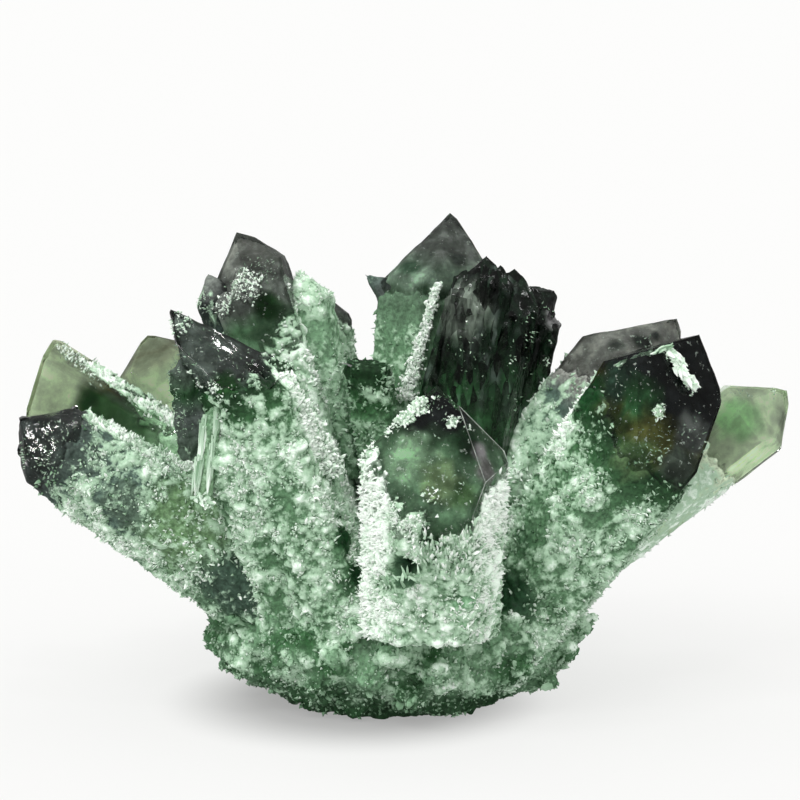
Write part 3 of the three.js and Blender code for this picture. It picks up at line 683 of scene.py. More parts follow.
def unevenness(world):
    return noiseAt(world, 2.8, 31.0) + 0.45 * noiseAt(world, 1.2, 13.0)


def azimuthOf(crystal, points):
    x, y = (points[:, :2] - crystal.lean).T
    return np.degrees(np.arctan2(y, x))


def crestShare(crystal, look, points):
    # how far each point is into one of the thick rows of druse along the crystal's edges
    azimuth, below = azimuthOf(crystal, points), crystal.below(points)
    share = np.zeros(len(points))
    for middle, halfWidth, strength, start, end in look["crests"]:
        away = np.abs((azimuth - middle + 180) % 360 - 180)
        inRange = smoothStep(start - 1.5, start + 1.5, below) * smoothStep(end + 2.5, end - 2.5, below)
        share = np.maximum(share, strength * inRange * smoothStep(halfWidth * 1.4, halfWidth * 0.6, away))
    return share


def snowDepth(crystal, look, points, clump):
    # how far below the ragged upper edge of the druse each point is
    line = look["clear"]
    if "snow" in look:
        line = np.interp(azimuthOf(crystal, points), *zip(*look["snow"]))
    return crystal.below(points) - line + 1.6 * clump


def coverAt(crystal, look, points, world):
    # the clumps and crests, 0 on the clear part and 1 where druse covers it, and how thick it has become there
    clump = clumps(world)
    depth = snowDepth(crystal, look, points, clump)
    return (clump, crestShare(crystal, look, points), smoothStep(-0.9, 1.1, depth),
            smoothStep(-1.0, look.get("fade", 3.0), depth))


def patchShare(world, middle, reach):
    away = distance(world, middle) * (1 + 0.35 * noiseAt(world, 1.5, 41.0))
    return smoothStep(reach * 1.2, reach * 0.45, away)


def patched(name, tint, world):
    for middle, reach, colour, _ in patches.get(name, ()):
        tint = mixed(tint, colour, patchShare(world, middle, reach))
    return tint


def bareShare(crystal, world):
    # 1 where a patch of the crystal is free of pale druse
    share = np.zeros(len(world))
    for middle, reach, _, bare in patches.get(crystal.name, ()):
        if bare:
            share = np.maximum(share, bare * patchShare(world, middle, reach))
    return share


def crustAndGlintShare(crystal, world, depth):
    share = np.zeros(len(world))
    ragged = 1 + 0.45 * noiseAt(world, 0.8, 17.0) + 0.3 * noiseAt(world, 0.4, 23.0)
    for middle, reach, thickness in crustsAndGlints.get(crystal.name, ()):
        away = np.sqrt(np.maximum(distance(world, middle) ** 2 - depth ** 2, 0)) * ragged
        share = np.maximum(share, thickness * smoothStep(reach * 1.15, reach * 0.7, away))
    return share


def nearestPlane(crystal, points, look):
    # the face that each point is nearest to, inset as the phantom is, and how far it is off that face
    inset = {"root": 0.0, "side": look["side"], "tip": look["tipInset"]}
    gap = crystal.depths(points) - np.array([inset[kind] for kind in crystal.kinds])
    nearest = np.argmin(np.abs(gap), axis=1)
    return nearest, gap[np.arange(len(points)), nearest]


def grownSkin(crystal, look, voxel):
    # the crystal's skin, with the voxels' small steps taken out: every point back onto the plane nearest to it
    mesh = fused(crystal.hull(look["side"], look["tipInset"]), voxel, crystal.name)
    points, normals = meshPoints(mesh)
    nearest, off = nearestPlane(crystal, points, look)
    points = points + crystal.normals[nearest] * np.clip(off, -bodySkin["mostOff"], bodySkin["mostOff"])[:, None]
    return mesh, points, normals, crystal.toWorld(points)


def growBody(crystal, look):
    voxel = look.get("voxel", bodySkin["voxel"])
    mesh, points, normals, start = grownSkin(crystal, look, voxel)
    depth = np.maximum(crystal.depths(points).min(axis=1), 0)
    clump, crest, snow, settled = coverAt(crystal, look, points, start)
    bare = 1 - bareShare(crystal, start)
    crustAndGlint = crustAndGlintShare(crystal, start, depth)
    cover = np.maximum(snow, smoothStep(0.3, 0.6, crustAndGlint))
    nodule = nodules(start)
    knobs = look.get("knobs", bodySkin["nodule"]) * (0.4 + 0.6 * settled)
    lump = (depth + knobs * (nodule - bodySkin["sunk"])) * cover
    lump += bodySkin["clump"] * np.clip(clump, -1, 0.8) * snow
    lump -= look["ripple"] * (1 - unevenness(start)) * (1 - cover)
    world = crystal.toWorld(points + normals * lump[:, None])
    if crystal.name == "front":
        hollow = pit["depth"] * smoothStep(pit["radius"], 0.4 * pit["radius"], distance(world, pit["at"]))
        world -= crystal.turn(normals) * hollow[:, None]
    world = aboveFloor(world)
    tint = blendStops(crystal.below(points) + bodySkin["veil"] * noiseAt(world, 3.0, 7.3), look["stops"])
    tint = patched(crystal.name, tint, start) * (1 - 0.5 * (1 - settled) * cover)[:, None]
    shares = [chance(crystal.seed + 40 * k, 31) for k in range(len(crystal.kinds))]
    tones = spread(bodySkin["faceTone"], np.array(shares))
    tint = tint * (1 + (tones[nearestPlane(crystal, points, look)[0]] - 1) * (1 - cover))[:, None]
    frost = look["white"] + frostBy["base"] + frostBy["clump"] * clump + frostBy["crest"] * crest
    frost += frostBy["nodule"] * (nodule - 0.3)
    frost = snow * frost * bare + frostBy["bare"] * (1 - bare) + frostBy["young"] * (1 - settled) * (1 - crest)
    frost += (1 - snow) * (frostBy["crustAndGlint"] * crustAndGlint - 0.35)
    addFrosted("body_" + crystal.name, mesh, world, tint, np.clip(frost, *frostRange))
    mesh.materials.append(phantoms[phantomOf[look["glass"]]])
    firstCorners = wholeNumbers(mesh.loops, "vertex_index")[wholeNumbers(mesh.polygons, "loop_start")]
    mesh.polygons.foreach_set("material_index", (cover[firstCorners] < 0.5).astype(np.int32))


def sliceEvenly(bm, pitch):
    # cuts every face into cells about as wide as the pitch, so that its surface can be uneven
    for axis in range(3):
        places = [vert.co[axis] for vert in bm.verts]
        low, high = min(places), max(places)
        normal = Vector([float(k == axis) for k in range(3)])
        for step in range(1, int((high - low) / pitch) + 1):
            slicePlane(bm, normal, low + step * pitch)
    triangulate(bm)


def growTip(crystal, look):
    bottom = max([look["clear"]] + [stop[1] for stop in look.get("snow", [])])
    bm = crystal.hull(low=crystal.length - bottom - tipSkin["overlap"])
    bmesh.ops.bevel(bm, geom=bm.edges[:], offset=look.get("bevel", tipSkin["bevel"]), offset_type="OFFSET",
                    segments=2, profile=0.5, affect="EDGES", material=-1)
    sliceEvenly(bm, tipSkin["pitch"])
    mesh = meshOf(bm, "tip_" + crystal.name)
    points, normals = meshPoints(mesh)
    world = crystal.toWorld(points)
    inwards = look["ripple"] * (unevenness(world) - 1)
    # the lower end sinks under the druse
    inwards -= tipSkin["sunk"] * smoothStep(bottom, bottom + 0.6 * tipSkin["overlap"], crystal.below(points))
    world += crystal.turn(normals) * inwards[:, None]
    addPiece("tip_" + crystal.name, mesh, world, clearQuartz[look["glass"]])
    mesh.set_sharp_from_angle(angle=math.radians(tipSkin["sharpAngle"]))


# Pale lines on the edges of the clear tips: a painted highlight standing in for the gleam of the edges
rims = {"colour": (0.26, 0.29, 0.26), "sides": 5, "taper": 0.6, "pitch": 0.8, "shortest": 0.4}


def growEdgeGleams(crystal, look):
    # pale lines along the edges of the clear tip, between two azimuths: a painted highlight, thinner and darker in
    # places
    bm = bmesh.new()
    hull = crystal.hull(look["ripple"] * 0.8, look["ripple"] * 0.8)
    limit = crystal.length - look["clear"] + 1.0
    for edge in hull.edges:
        low, high = sorted((vert.co.copy() for vert in edge.verts), key=lambda corner: corner.z)
        middle = azimuthOf(crystal, np.array([(low + high) / 2]))[0]
        if high.z < limit + 0.5 or not look["rimSide"][0] < middle < look["rimSide"][1]:
            continue
        if low.z < limit:
            low = low.lerp(high, (limit - low.z) / (high.z - low.z))
        along = high - low
        if along.length < rims["shortest"]:
            continue
        place = Matrix.Translation((low + high) / 2) @ along.to_track_quat("Z", "Y").to_matrix().to_4x4()
        bmesh.ops.create_cone(bm, cap_ends=True, segments=rims["sides"], radius1=look["rim"] * rims["taper"],
                              radius2=look["rim"], depth=along.length, matrix=place)
    hull.free()
    sliceEvenly(bm, rims["pitch"])
    move(bm, crystal.frame)
    mesh = meshOf(bm, "rims_" + crystal.name)
    points, normals = meshPoints(mesh)
    gleamBreaks = 0.5 + 0.9 * noiseAt(points, 1.6, 51.0)
    points -= normals * (look["rim"] * np.clip(0.5 - gleamBreaks, 0, 0.85))[:, None]
    tint = np.array(rims["colour"]) * (0.55 + 0.9 * np.clip(gleamBreaks, 0, 1))[:, None]
    addFrosted("rims_" + crystal.name, mesh, points, tint, np.full(len(points), -0.6))


for name, look in looks.items():
    growBody(crystals[name], look)
    growTip(crystals[name], look)
    # pale lines on the tip's edges, a painted highlight
    if "rim" in look:
        growEdgeGleams(crystals[name], look)
for name, look in covered.items():
    growBody(crystals[name], look)
print("main crystals made:", len(looks) + len(covered))


# The dark bundle, ribbed and stepped
darkNames = ["dark", "darkMiddle", "darkRight", "darkStepLeft", "darkStepRight", "darkStepLow"]
bundle = {"inset": 0.5, "shards": 13, "width": (0.9, 2.8), "reach": (5, 16), "below": 3.6, "sway": 0.09,
          "pitch": 0.8, "crooked": 0.2, "greenBelow": (47, 35), "grey": 0.35}


def growDark(crystal):
    # a core with thin crystals grown along it, all within the faces of the whole one
    bm = crystal.hull(bundle["inset"], bundle["inset"])
    random = np.random.default_rng(seeds["bundle"] + crystal.seed)
    faces = [(n, d) for kind, n, d in zip(crystal.kinds, crystal.normals, crystal.offsets) if kind == "tip"]
    for index in range(bundle["shards"]):
        width = spread(bundle["width"], random.random() ** 1.5)
        angle = math.tau * (index + random.random()) / bundle["shards"]
        away = (crystal.width / 2 - 0.5 * width) * (0.75 + 0.25 * random.random())
        x, y = crystal.lean[0] + away * math.cos(angle), crystal.lean[1] + away * math.sin(angle)
        top = min((d - n[0] * x - n[1] * y) / n[2] for n, d in faces) - bundle["below"] * random.random() ** 1.6
        reach = spread(bundle["reach"], random.random())
        sway = random.normal(0, bundle["sway"], 2)
        tip = crystal.frame @ Vector((x, y, top))
        root = crystal.frame @ Vector((x * 0.8 + sway[0] * reach, y * 0.8 + sway[1] * reach, top - reach))
        shard = Crystal("shard", dict(tip=tip, root=root, width=width, turn=60 * random.random(), narrow=1.0), index)
        hull = shard.hull()
        move(hull, crystal.frame.inverted() @ shard.frame)
        joinInto(bm, hull)
    sliceEvenly(bm, bundle["pitch"])
    move(bm, crystal.frame)
    mesh = meshOf(bm, "dark_" + crystal.name)
    points, normals = meshPoints(mesh)
    crooked = np.stack([noiseAt(points, 0.7, 3.0 + 9 * axis) for axis in range(3)], axis=1)
    points += bundle["crooked"] * (crooked - 0.6 * normals)
    green = smoothStep(*bundle["greenBelow"], points[:, 2] + 6 * noiseAt(points * (1, 1, 0.4), 1.9, 6.0))
    grey = smoothStep(0.2, 0.5, noiseAt(points * (1, 1, 0.3), 0.9, 20.0))
    tint = patched("bundle", mixed(blackGreen, bundleGreen, green), points)
    tint = mixed(tint, smoke, bundle["grey"] * grey)
    addPiece("dark_" + crystal.name, mesh, points, darkQuartz, {"tint": tint}, False)


for name in darkNames:
    growDark(crystals[name])
print("dark bundle made:", len(darkNames))


# Small crystals beside the main ones
smallSkin = {"side": 0.05, "tipInset": 0.05, "voxel": 0.28, "rough": 0.12, "blotch": 0.36}
smallLooks = {
    "frontNeck": dict(stops=[(0, deepGreen)], frost=0.3),
    "frontHeel": dict(stops=[(0, deepGreen), (60, darkGreen)], frost=0.25),
    "leftFlank": dict(stops=[(0, smoke), (3, (0.05, 0.075, 0.055)), (6, darkGreen), (9, smoke),
        (12, (0.05, 0.075, 0.055)), (60, deepGreen)], frost=-0.06, rough=0.6, blotch=0.6),
    "leftSlab": dict(stops=[(0, midGreen), (60, paleGreen)], frost=0.16, blotch=0.2),
    "tallLeftStep": dict(stops=[(0, ash), (4, charcoal), (8, slate), (60, deepGreen)], frost=-0.1, rough=0.2),
    "middleSpur": dict(stops=[(0, slate), (3, smoke), (60, deepGreen)], frost=-0.05, rough=0.2),
    "lowLeftStep": dict(stops=[(0, slate), (4, deepGreen), (60, darkGreen)], frost=0.35),
    "backUpperStep": dict(stops=[(0, slate), (6, deepGreen), (60, midGreen)], frost=0.45),
    "backLeftStep": dict(stops=[(0, slate), (6, deepGreen), (60, midGreen)], frost=0.45),
    "backRightStep": dict(stops=[(0, slate), (6, deepGreen), (60, midGreen)], frost=0.45),
}


def growSmall(crystal, look):
    look = {**smallSkin, **look}
    mesh, points, normals, world = grownSkin(crystal, look, look["voxel"])
    clump = clumps(world)
    lump = noiseAt(world, 1.1) * look["rough"] + 0.05 * noiseAt(world, 0.5) - 0.5 * look["rough"]
    world = aboveFloor(world + crystal.turn(normals) * lump[:, None])
    tint = blendStops(crystal.below(points) + noiseAt(world, 2.0), look["stops"])
    frost = look["frost"] + look["blotch"] * clump
    addFrosted("body_" + crystal.name, mesh, world, tint, np.clip(frost, *frostRange))


for name, look in smallLooks.items():
    growSmall(crystals[name], look)
print("small crystals made:", len(smallLooks))


# The foot: a lumpy mound with small crystals grown out of it
footCrystals = {"count": 62, "lowest": 4.2, "highest": 15, "width": (2.2, 4.4), "length": (4.6, 9.0), "buried": 0.5}
footSkin = {"detail": 5, "inset": 0.05, "voxel": 0.34}
goldenAngle = math.pi * (3 - math.sqrt(5))


def moundPoint(direction):
    x, y, z = direction
    wave = math.sin(7 * x + 2 * z) * math.sin(6 * y + 1) + 0.6 * math.sin(11 * z + 9 * x)
    swell = foot["lump"] * 0.5 * wave
    return Vector(foot["centre"][k] + direction[k] * (foot["radii"][k] + swell) for k in range(3))


def footCrystal(index):
    height = spread((footCrystals["lowest"], footCrystals["highest"]), (index + 0.5) / footCrystals["count"])
    rise = (height - foot["centre"][2]) / foot["radii"][2]
    level = math.sqrt(max(0, 1 - rise * rise))
    turn = index * goldenAngle
    out = Vector((math.cos(turn) * level, math.sin(turn) * level, rise)).normalized()
    jog = Vector((0.7 * (chance(index, 21) - 0.5), 0.7 * (chance(index, 22) - 0.5), 0.15 + 0.5 * chance(index, 23)))
    way = (out + jog).normalized()
    size = chance(index, 24)
    reach = spread(footCrystals["length"], size * chance(index, 25))
    root = moundPoint(out) - way * reach * footCrystals["buried"]
    values = dict(tip=root + way * reach, root=root, width=spread(footCrystals["width"], size),
                  turn=60 * chance(index, 26))
    return Crystal("foot_%02d" % index, values, index)


footList = [footCrystal(index) for index in range(footCrystals["count"])]


def growFoot():
    bm = bmesh.new()
    bmesh.ops.create_icosphere(bm, subdivisions=footSkin["detail"], radius=1)
    for vert in bm.verts:
        vert.co = moundPoint(vert.co)
    for crystal in footList:
        small = crystal.hull(footSkin["inset"], footSkin["inset"])
        move(small, crystal.frame)
        joinInto(bm, small)
    mesh = fused(bm, footSkin["voxel"], "foot")
    points, normals = meshPoints(mesh)
    lump = 0.9 * noiseAt(points, 3.0) + 1.3 * np.abs(noiseAt(points, 1.9, 8.0))
    lump += 0.4 * np.abs(noiseAt(points, 0.8, 4.0))
    world = aboveFloor(points + normals * (lump - 0.5)[:, None])
    # low down the foot turns darker and less frosted: painted shade near the floor
    high = smoothStep(1, 9, world[:, 2] + 3 * noiseAt(world, 3.2, 11.0))
    green = smoothStep(-0.4, 0.5, noiseAt(world, 4.5, 2.0) + 0.5 * lump)
    tint = mixed(darkGreen, mixed(deepGreen, softGreen, green), high)
    frost = 0.02 + 0.3 * clumps(world) + 0.45 * lump + 0.75 * noiseAt(world, 3.0, 21.0)
    addFrosted("foot", mesh, world, tint, np.clip(frost, -0.5, 1) * high)


growFoot()
print("foot made")


# Druse: needles and grains set on the faces, thickest along the crests
def prototype(sides, taper, point):
    # a short prism with a point, its foot at the origin, one unit long and one unit in radius
    bm = bmesh.new()
    high = 1 - point if taper else 1
    bmesh.ops.create_cone(bm, cap_ends=True, segments=sides, radius1=1, radius2=taper, depth=high)
    bmesh.ops.translate(bm, verts=bm.verts[:], vec=(0, 0, high / 2))
    if taper:
        top = max(bm.faces, key=lambda face: face.calc_center_median().z)
        bmesh.ops.poke(bm, faces=[top])["verts"][0].co.z = 1
    else:
        bmesh.ops.remove_doubles(bm, verts=bm.verts[:], dist=1e-4)
    triangulate(bm)
    points = np.array([vert.co[:] for vert in bm.verts])
    triangles = np.array([[vert.index for vert in face.verts] for face in bm.faces])
    bm.free()
    return points, triangles


needleShape = prototype(4, 0.8, 0.45)
grainShape = prototype(3, 0, 1)
chunkShape = prototype(5, 0.95, 0.3)

# Each kind: how densely it may stand, its size, lift and jitter, and how likely it grows anywhere, on the clumps and
# on the crests. thinned: how much rarer it is on the crests. thin: its thickness over its width.
druse = {
    "needles": dict(shape=needleShape, perSquare=5.0, length=(0.3, 0.95), radius=(0.14, 0.28), lift=0.3, jitter=0.5,
                    anywhere=0, clumps=0.12, clumped=(-0.1, 0.6), thinned=0, crests=0.95, thin=0.6),
    "grains": dict(shape=grainShape, perSquare=6.0, length=(0.15, 0.55), radius=(0.22, 0.5), lift=0.3, jitter=0.6,
                   anywhere=0.15, clumps=0.75, clumped=(-0.5, 0.4), thinned=0.5, crests=0, thin=0.6),
    "flakes": dict(shape=needleShape, perSquare=4.0, length=(0.35, 1.1), radius=(0.14, 0.32), lift=0.35, jitter=0.55,
                   anywhere=0, clumps=0.75, clumped=(-0.15, 0.55), thinned=0.5, crests=0, thin=0.3),
}
buried = {"druse": 0.2, "crustAndGlint": 0.12, "ridge": 0.3}
# how much each of these adds to the size and the whiteness of a crystal of the druse
sizeBy = {"base": 0.1, "chance": 0.45, "crest": 0.35, "clump": 0.25}
whiteBy = {"base": -0.04, "chance": 0.11, "crest": 0.42, "clump": 0.32, "young": -0.3}


def pointsOnHull(crystal, perSquare, random):
    # Random points on the outside of a crystal, the plane each one lies on, and where it is in the cluster.
    bm = crystal.hull()
    triangulate(bm)
    a, b, c = np.array([[vert.co[:] for vert in face.verts] for face in bm.faces]).transpose(1, 0, 2)
    bm.free()
    area = np.linalg.norm(np.cross(b - a, c - a), axis=1) / 2
    count = int(area.sum() * perSquare)
    chosen = random.choice(len(area), count, p=area / area.sum())
    first, second = random.random(count), random.random(count)
    flip = first + second > 1
    first[flip], second[flip] = 1 - first[flip], 1 - second[flip]
    points = a[chosen] + (b - a)[chosen] * first[:, None] + (c - a)[chosen] * second[:, None]
    return points, np.argmin(np.abs(crystal.depths(points)), axis=1), crystal.toWorld(points)


def pick(keep, *arrays):
    return [array[keep] for array in arrays]


def clearOf(others, world, keep, margin):
    # of the points to keep, those that are in none of the other crystals
    for other in others:
        near = np.nonzero(keep)[0]
        inside = (other.depths(other.toLocal(world[near])) > margin).all(axis=1)
        keep[near[inside]] = False
    return keep


def outside(world, own):
    scaled = (world - np.array(foot["centre"])) / (np.array(foot["radii"]) - 0.6)
    keep = ((scaled ** 2).sum(axis=1) >= 1) & (world[:, 2] > 0.4)
    return clearOf([other for other in [*crystals.values(), *footList] if other is not own], world, keep, 0.15)


def plant(name, shape, world, way, length, radius, whiteness, random, thin=0.6, smooth=False):
    # One joined mesh of a repeated shape, each turned to its own direction.
    corners, faces = shape
    helper = np.where(np.abs(way[:, 2:3]) < 0.9, np.array([[0, 0, 1.0]]), np.array([[1.0, 0, 0]]))
    first = unit(np.cross(helper, way))
    spin = random.random(len(way)) * math.tau
    turned = first * np.cos(spin)[:, None] + np.cross(way, first) * np.sin(spin)[:, None]
    flat = radius * thin * (1 + 0.6 * random.random(len(way)))
    points = world[:, None, :] + sum(
        corners[None, :, k:k + 1] * (axis * size[:, None])[:, None, :]
        for k, (axis, size) in enumerate(((turned, radius), (np.cross(way, turned), flat), (way, length))))
    triangles = faces[None] + (np.arange(len(world)) * len(corners))[:, None, None]
    tone = np.clip(whiteness[:, None] * (0.72 + 0.45 * corners[None, :, 2]), 0, 1)
    mesh = meshFromTriangles(name, points.size // 3, triangles.reshape(-1, 3))
    addPiece(name, mesh, points, needleQuartz, {"whiteness": tone.ravel()}, smooth)
    return len(world)


def wayFrom(crystal, points, plane, lift, jitter, random):
    # directions that stand off the face and lean towards the tip, fanned round the crystal
    radial = (points - np.array((*crystal.lean, 0))) * np.array((1, 1, 0))
    radial /= np.maximum(np.linalg.norm(radial, axis=1), 1e-6)[:, None]
    way = 0.6 * crystal.normals[plane] + 0.4 * radial
    way[:, 2] += lift
    way += random.normal(0, jitter, (len(points), 3))
    return unit(crystal.turn(way))


def growDruse(crystal, look):
    made = 0
    for kind, values in druse.items():
        random = np.random.default_rng(seeds["druse"] + crystal.seed + 50 * len(kind))
        points, plane, world = pointsOnHull(crystal, values["perSquare"], random)
        grown = np.array([entry == "side" or kind == "grains" and entry == "tip" for entry in crystal.kinds])[plane]
        points, plane, world = pick(grown, points, plane, world)
        clump, crest, snow, settled = coverAt(crystal, look, points, world)
        grow = look["druse"] * (values["anywhere"] + values["clumps"] * smoothStep(*values["clumped"], clump))
        grow = grow * (1 - values["thinned"] * crest) + values["crests"] * crest
        grow *= np.maximum(0.2 + 0.8 * settled, crest)
        keep = random.random(len(points)) < grow * snow * (1 - bareShare(crystal, world))
        if crystal.name == "front":
            keep &= distance(world, pit["at"]) > pit["radius"] * 0.8
        keep[keep] = outside(world[keep], crystal)
        points, plane, world, clump, crest, settled = pick(keep, points, plane, world, clump, crest, settled)
        count = len(points)
        lift = values["lift"] * 2 * random.random(count)
        way = wayFrom(crystal, points, plane, lift, values["jitter"], random)
        size = sizeBy["base"] + sizeBy["chance"] * random.random(count) ** 1.5
        size = np.clip(size + sizeBy["crest"] * crest + sizeBy["clump"] * clump, 0, 1)
        radius = spread(values["radius"], size) * spread((0.75, 1.25), random.random(count))
        white = look["white"] + whiteBy["base"] + whiteBy["clump"] * clump + whiteBy["crest"] * crest
        white += random.normal(0, whiteBy["chance"], count)
        white = np.clip(white + whiteBy["young"] * (1 - settled) * (1 - crest), 0.02, 1)
        made += plant(kind + "_" + crystal.name, values["shape"], world - way * buried["druse"], way,
                      spread(values["length"], size) + buried["druse"], radius, white, random, values["thin"],
                      kind == "grains")
    return made


# Leaf-shaped crystals lying towards the tip on the front crystal
leaves = {"at": (6.4, -30.4, 27.4), "reach": 5.2, "perSquare": 5.0, "length": (0.7, 1.5), "radius": (0.15, 0.3)}


def growLeaves(crystal):
    random = np.random.default_rng(seeds["leaves"])
    points, plane, world = pointsOnHull(crystal, leaves["perSquare"], random)
    away = np.linalg.norm((world - np.array(leaves["at"])) * (1, 1, 0.8), axis=1)
    keep = random.random(len(points)) < smoothStep(leaves["reach"], leaves["reach"] * 0.5, away)
    keep &= snowDepth(crystal, looks[crystal.name], points, clumps(world)) > 0
    keep &= distance(world, pit["at"]) > pit["radius"]
    plane, world = pick(keep, plane, world)
    way = 0.42 * crystal.normals[plane] + random.normal(0, 0.24, (len(plane), 3))
    way[:, 2] += 0.85
    size = random.random(len(plane))
    white = np.clip(0.6 + random.normal(0, 0.2, len(plane)), 0.15, 0.95)
    return plant("leaves_front", needleShape, world, unit(crystal.turn(way)), spread(leaves["length"], size),
                 spread(leaves["radius"], size), white, random)


print("leaf-shaped crystals:", growLeaves(crystals["front"]))
print("needles and grains on the crystals:",
      sum(growDruse(crystals[name], look) for name, look in {**looks, **covered}.items()))


# Pale crusts and specks on the clear faces, and white grains as painted glints on the dark bundle
crustAndGlintShape = {"perSquare": 18, "length": (0.1, 0.4), "radius": (0.1, 0.28), "lift": 0.2, "jitter": 0.45}


def growCrustsAndGlints(crystal):
    random = np.random.default_rng(seeds["crustsAndGlints"] + crystal.seed)
    points, plane, world = pointsOnHull(crystal, crustAndGlintShape["perSquare"], random)
    share = crustAndGlintShare(crystal, world, np.zeros(len(world)))
    keep = random.random(len(points)) < share
    keep[keep] = outside(world[keep], crystal)
    points, plane, world, share = pick(keep, points, plane, world, share)
    count = len(points)
    way = wayFrom(crystal, points, plane, crustAndGlintShape["lift"], crustAndGlintShape["jitter"], random)
    size = random.random(count) ** 1.5
    thick = smoothStep(0.1, 0.6, share)
    white = np.clip(0.44 + 0.42 * thick + random.normal(0, 0.14, count), 0.2, 1)
    return plant("crust_" + crystal.name, grainShape, world - way * buried["crustAndGlint"], way,
                 spread(crustAndGlintShape["length"], size) + buried["crustAndGlint"],
                 spread(crustAndGlintShape["radius"], size) * (0.42 + 0.68 * thick), white, random)


print("grains of crust:", sum(growCrustsAndGlints(crystals[name]) for name in crustsAndGlints))


# Ridges and bars of white quartz, and a grey line that is a painted reflection: from where to where, how far they
# stray, how many crystals, their length, radius and direction, how unevenly they point, how much the row widens,
# and how white they are
ridges = {
    "ridge_dark": ((4.9, 5.2, 54.4), (0.6, 2.6, 39.5), 0.22, 1100, (0.35, 0.75), (0.14, 0.3), (-0.1, -0.75, 0.6), 0.5,
        1.6),
    "bar_right_a": ((33.4, -14.1, 48.2), (34.8, -14.8, 46.4), 0.34, 60, (0.7, 1.4), (0.22, 0.42), (0.55, -0.1, -0.6),
        0.25),
    "bar_right_b": ((34.6, -15.0, 46.0), (36.2, -15.1, 44.0), 0.36, 70, (0.7, 1.5), (0.22, 0.46), (0.5, -0.1, -0.65),
        0.25),
    "blades_pit": ((-0.4, -30.2, 22.4), (1.9, -30.6, 23.6), 0.8, 16, (0.8, 1.9), (0.16, 0.3), (-0.1, -0.5, 0.5), 0.8,
        0, (0.5, 0.16)),
    # the next row is a grey line along the upper edge of the right tip: a painted reflection
    "edge_right": ((27.0, -14.7, 46.5), (33.6, -14.6, 48.9), 0.2, 150, (0.4, 1.0), (0.1, 0.24), (-0.9, -0.15, -0.35),
        0.18, 0, (0.42, 0.15)),
    "crust_front_edge": ((-0.2, -28.0, 41.8), (2.8, -28.2, 44.5), 0.34, 210, (0.25, 0.6), (0.16, 0.32),
        (-0.5, -0.5, 0.7), 0.5, 0, (0.7, 0.15)),
    "crest_left": ((-14.2, -15.4, 45.6), (-8.2, -14.0, 32.6), 0.45, 1150, (0.35, 0.9), (0.15, 0.32),
        (0.45, -0.7, 0.45), 0.45, 0.9),
    "slab_left_edge": ((-24.0, -17.5, 40.6), (-25.2, -17.2, 32.6), 0.22, 60, (1.6, 4.2), (0.15, 0.32),
        (-0.115, 0.07, -0.99), 0.03, 0, (0.66, 0.15)),
    "slab_left_side": ((-22.7, -17.6, 41.2), (-23.7, -17.3, 33.2), 0.2, 45, (1.6, 4.2), (0.15, 0.3),
        (-0.115, 0.07, -0.99), 0.03, 0, (0.6, 0.15)),
    "slab_left_foot": ((-24.9, -17.0, 30.6), (-23.7, -17.1, 29.2), 0.45, 50, (0.5, 1.3), (0.18, 0.36),
        (-0.2, -0.6, -0.4), 0.8, 0, (0.66, 0.15)),
}


def growRidge(name, start, end, across, count, length, radius, way, jitter, widen=0, white=(0.88, 0.12)):
    random = np.random.default_rng(len(name))
    share = random.random(count)
    off = random.normal(0, across, (count, 3)) * (1, 0.5, 0.5)
    world = np.array(start) + np.subtract(end, start) * share[:, None] + off * (1 + widen * share)[:, None]
    way = unit(np.array(way) + random.normal(0, jitter, (count, 3)))
    size = random.random(count) ** 1.3
    whiteness = np.clip(white[0] + random.normal(0, white[1], count), 0.15, 1)
    plant(name, needleShape, world - way * buried["ridge"], way, spread(length, size), spread(radius, size),
          whiteness, random)


for name, row in ridges.items():
    growRidge(name, *row)
print("ridges and bars made:", len(ridges))


# Small crystals and grains on the foot: their shape, count, length, radius, how deep they stand and from what height
footDruse = {
    "chunks_foot": (chunkShape, 220, (0.4, 1.2), (0.3, 0.6), 0.5, 1.2),
    "grains_foot": (grainShape, 9000, (0.15, 0.55), (0.22, 0.5), 0.15, 0.6),
}


def growFootDruse():
    random = np.random.default_rng(seeds["foot"])
    allPoints, allNormals = meshPoints(bpy.data.objects["foot"].data)
    made = 0
    for name, (shape, count, length, radius, deep, lowest) in footDruse.items():
        chosen = random.choice(len(allPoints), min(count, len(allPoints)), replace=False)
        world, normal = allPoints[chosen] / mm, allNormals[chosen]
        keep = clearOf(crystals.values(), world, world[:, 2] > lowest, -0.1)
        world, normal = pick(keep, world, normal)
        clump = clumps(world)
        way = unit(normal + np.array((0, 0, 0.35)) + random.normal(0, 0.4, (len(world), 3)))
        size = random.random(len(world)) ** 1.8
        white = 0.36 + 0.34 * clump + random.normal(0, 0.12, len(world))
        # the grains are darker near the floor: painted shade
        white = np.clip(white, 0.02, 1) * (0.5 + 0.5 * smoothStep(0, 7, world[:, 2]))
        made += plant(name, shape, world - way * deep, way, spread(length, size) + deep, spread(radius, size), white,
                      random, 0.6, name == "grains_foot")
    return made


print("small crystals and grains on the foot:", growFootDruse())


# Floor, lights and camera
stage = {"size": 24.0, "albedo": 0.15, "glow": (0.36, 0.71), "middle": (-6, -1), "shade": (12, 27)}


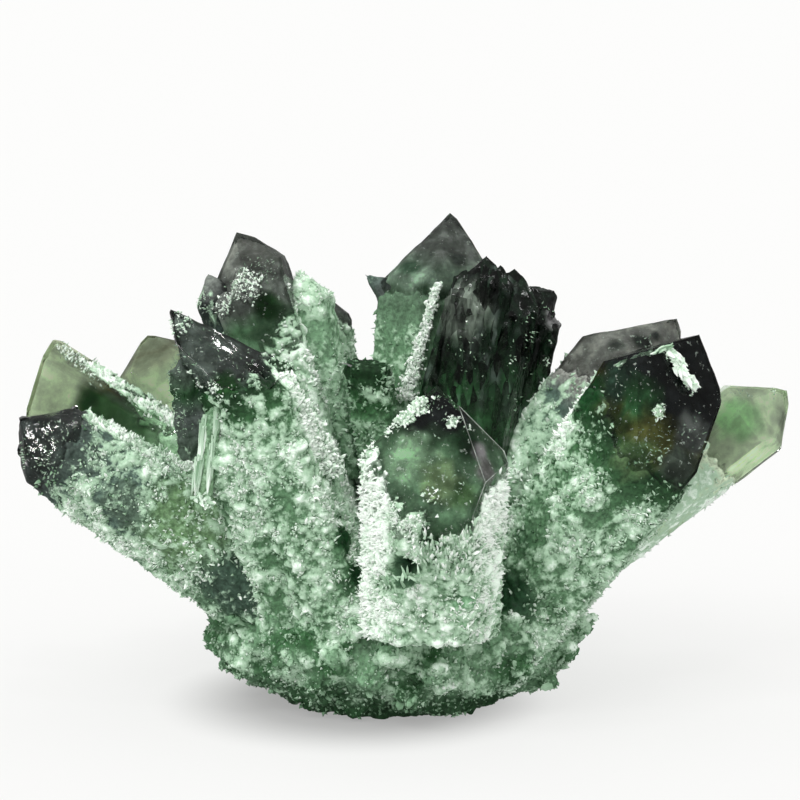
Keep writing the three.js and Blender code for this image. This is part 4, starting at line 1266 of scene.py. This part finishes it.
def makeStage():
    bm = bmesh.new()
    bmesh.ops.create_grid(bm, x_segments=1, y_segments=1, size=stage["size"])
    floor = linked("floor", meshOf(bm, "floor"))
    material, tree, shader = newMaterial("paleFloor", {
        "Base Color": (stage["albedo"], stage["albedo"], stage["albedo"], 1), "Roughness": 0.9,
        "Specular IOR Level": 0.0, "Emission Color": (1.0, 1.0, 0.99, 1),
    })
    # the floor glows evenly, less so round the specimen's middle: a painted soft shadow under the specimen
    middle = [value * mm for value in stage["middle"]] + [0]
    away = addNode(tree, "ShaderNodeVectorMath", {0: objectPlace(tree), 1: middle}, operation="DISTANCE")
    share = stepNode(tree, away.outputs["Value"], stage["shade"][0] * mm, stage["shade"][1] * mm)
    glow = mathNode(tree, "MULTIPLY_ADD", share, stage["glow"][1] - stage["glow"][0], stage["glow"][0])
    plug(tree, shader.inputs["Emission Strength"], glow)
    floor.data.materials.append(material)
    floor.visible_glossy = False


makeStage()

# Each lamp: where it is towards, how wide it looks in degrees, its strength, and whether it glints
lights = {
    "key": ((-0.38, -0.62, 0.7), 32, 1.35, False),
    "glintLeft": ((-0.55, -0.45, 0.62), 5, 0.22, True),
    "glintAbove": ((0.1, -0.35, 0.9), 5, 0.22, True),
    "glintRight": ((0.62, -0.6, 0.45), 5, 0.16, True),
    "glintBehind": ((0.45, 0.75, 0.55), 8, 0.2, True),
    "glintFarSide": ((-0.7, 0.45, 0.6), 8, 0.2, True),
}
for name, (towards, angle, strength, glossy) in lights.items():
    data = bpy.data.lights.new(name, "SUN")
    data.angle = math.radians(angle)
    data.energy = strength
    lamp = linked(name, data)
    lamp.rotation_euler = Vector(towards).to_track_quat("Z", "Y").to_euler()
    lamp.visible_glossy = glossy

studio = {"overhead": 1.45, "horizon": 0.75, "mirrored": 0.16, "backdrop": 0.955, "colour": (1.0, 1.0, 0.99)}
world = bpy.data.worlds.new("paleStudio")
world.use_nodes = True
tree = world.node_tree
sky = addNode(tree, "ShaderNodeTexCoord").outputs["Generated"]
height = addNode(tree, "ShaderNodeSeparateXYZ", {0: sky}).outputs["Z"]
strength = rangeNode(tree, height, 0.1, 0.75, studio["horizon"], studio["overhead"])
path = addNode(tree, "ShaderNodeLightPath")
dimmed = mathNode(tree, "MULTIPLY", strength, studio["mirrored"])
for ray, other in (("Is Glossy Ray", dimmed), ("Is Camera Ray", studio["backdrop"])):
    strength = addNode(tree, "ShaderNodeMix", {0: path.outputs[ray], 2: strength, 3: other}).outputs[0]
background = tree.nodes["Background"]
background.inputs["Color"].default_value = (*studio["colour"], 1)
plug(tree, background.inputs["Strength"], strength)
bpy.context.scene.world = world

view = {"distance": 0.35, "elevation": 9, "aimHeight": 0.0398, "lens": 121.3, "sensor": 36, "nearest": 0.01}
rise = math.radians(view["elevation"])
lensData = bpy.data.cameras.new("camera")
lensData.lens = view["lens"]
lensData.sensor_width = view["sensor"]
lensData.clip_start = view["nearest"]
camera = linked("camera", lensData)
camera.location = (0, -view["distance"] * math.cos(rise), view["aimHeight"] + view["distance"] * math.sin(rise))
camera.rotation_euler = (math.pi / 2 - rise, 0, 0)
bpy.context.scene.camera = camera
bpy.context.scene.view_settings.view_transform = "Standard"
print("stage, lights and camera made")
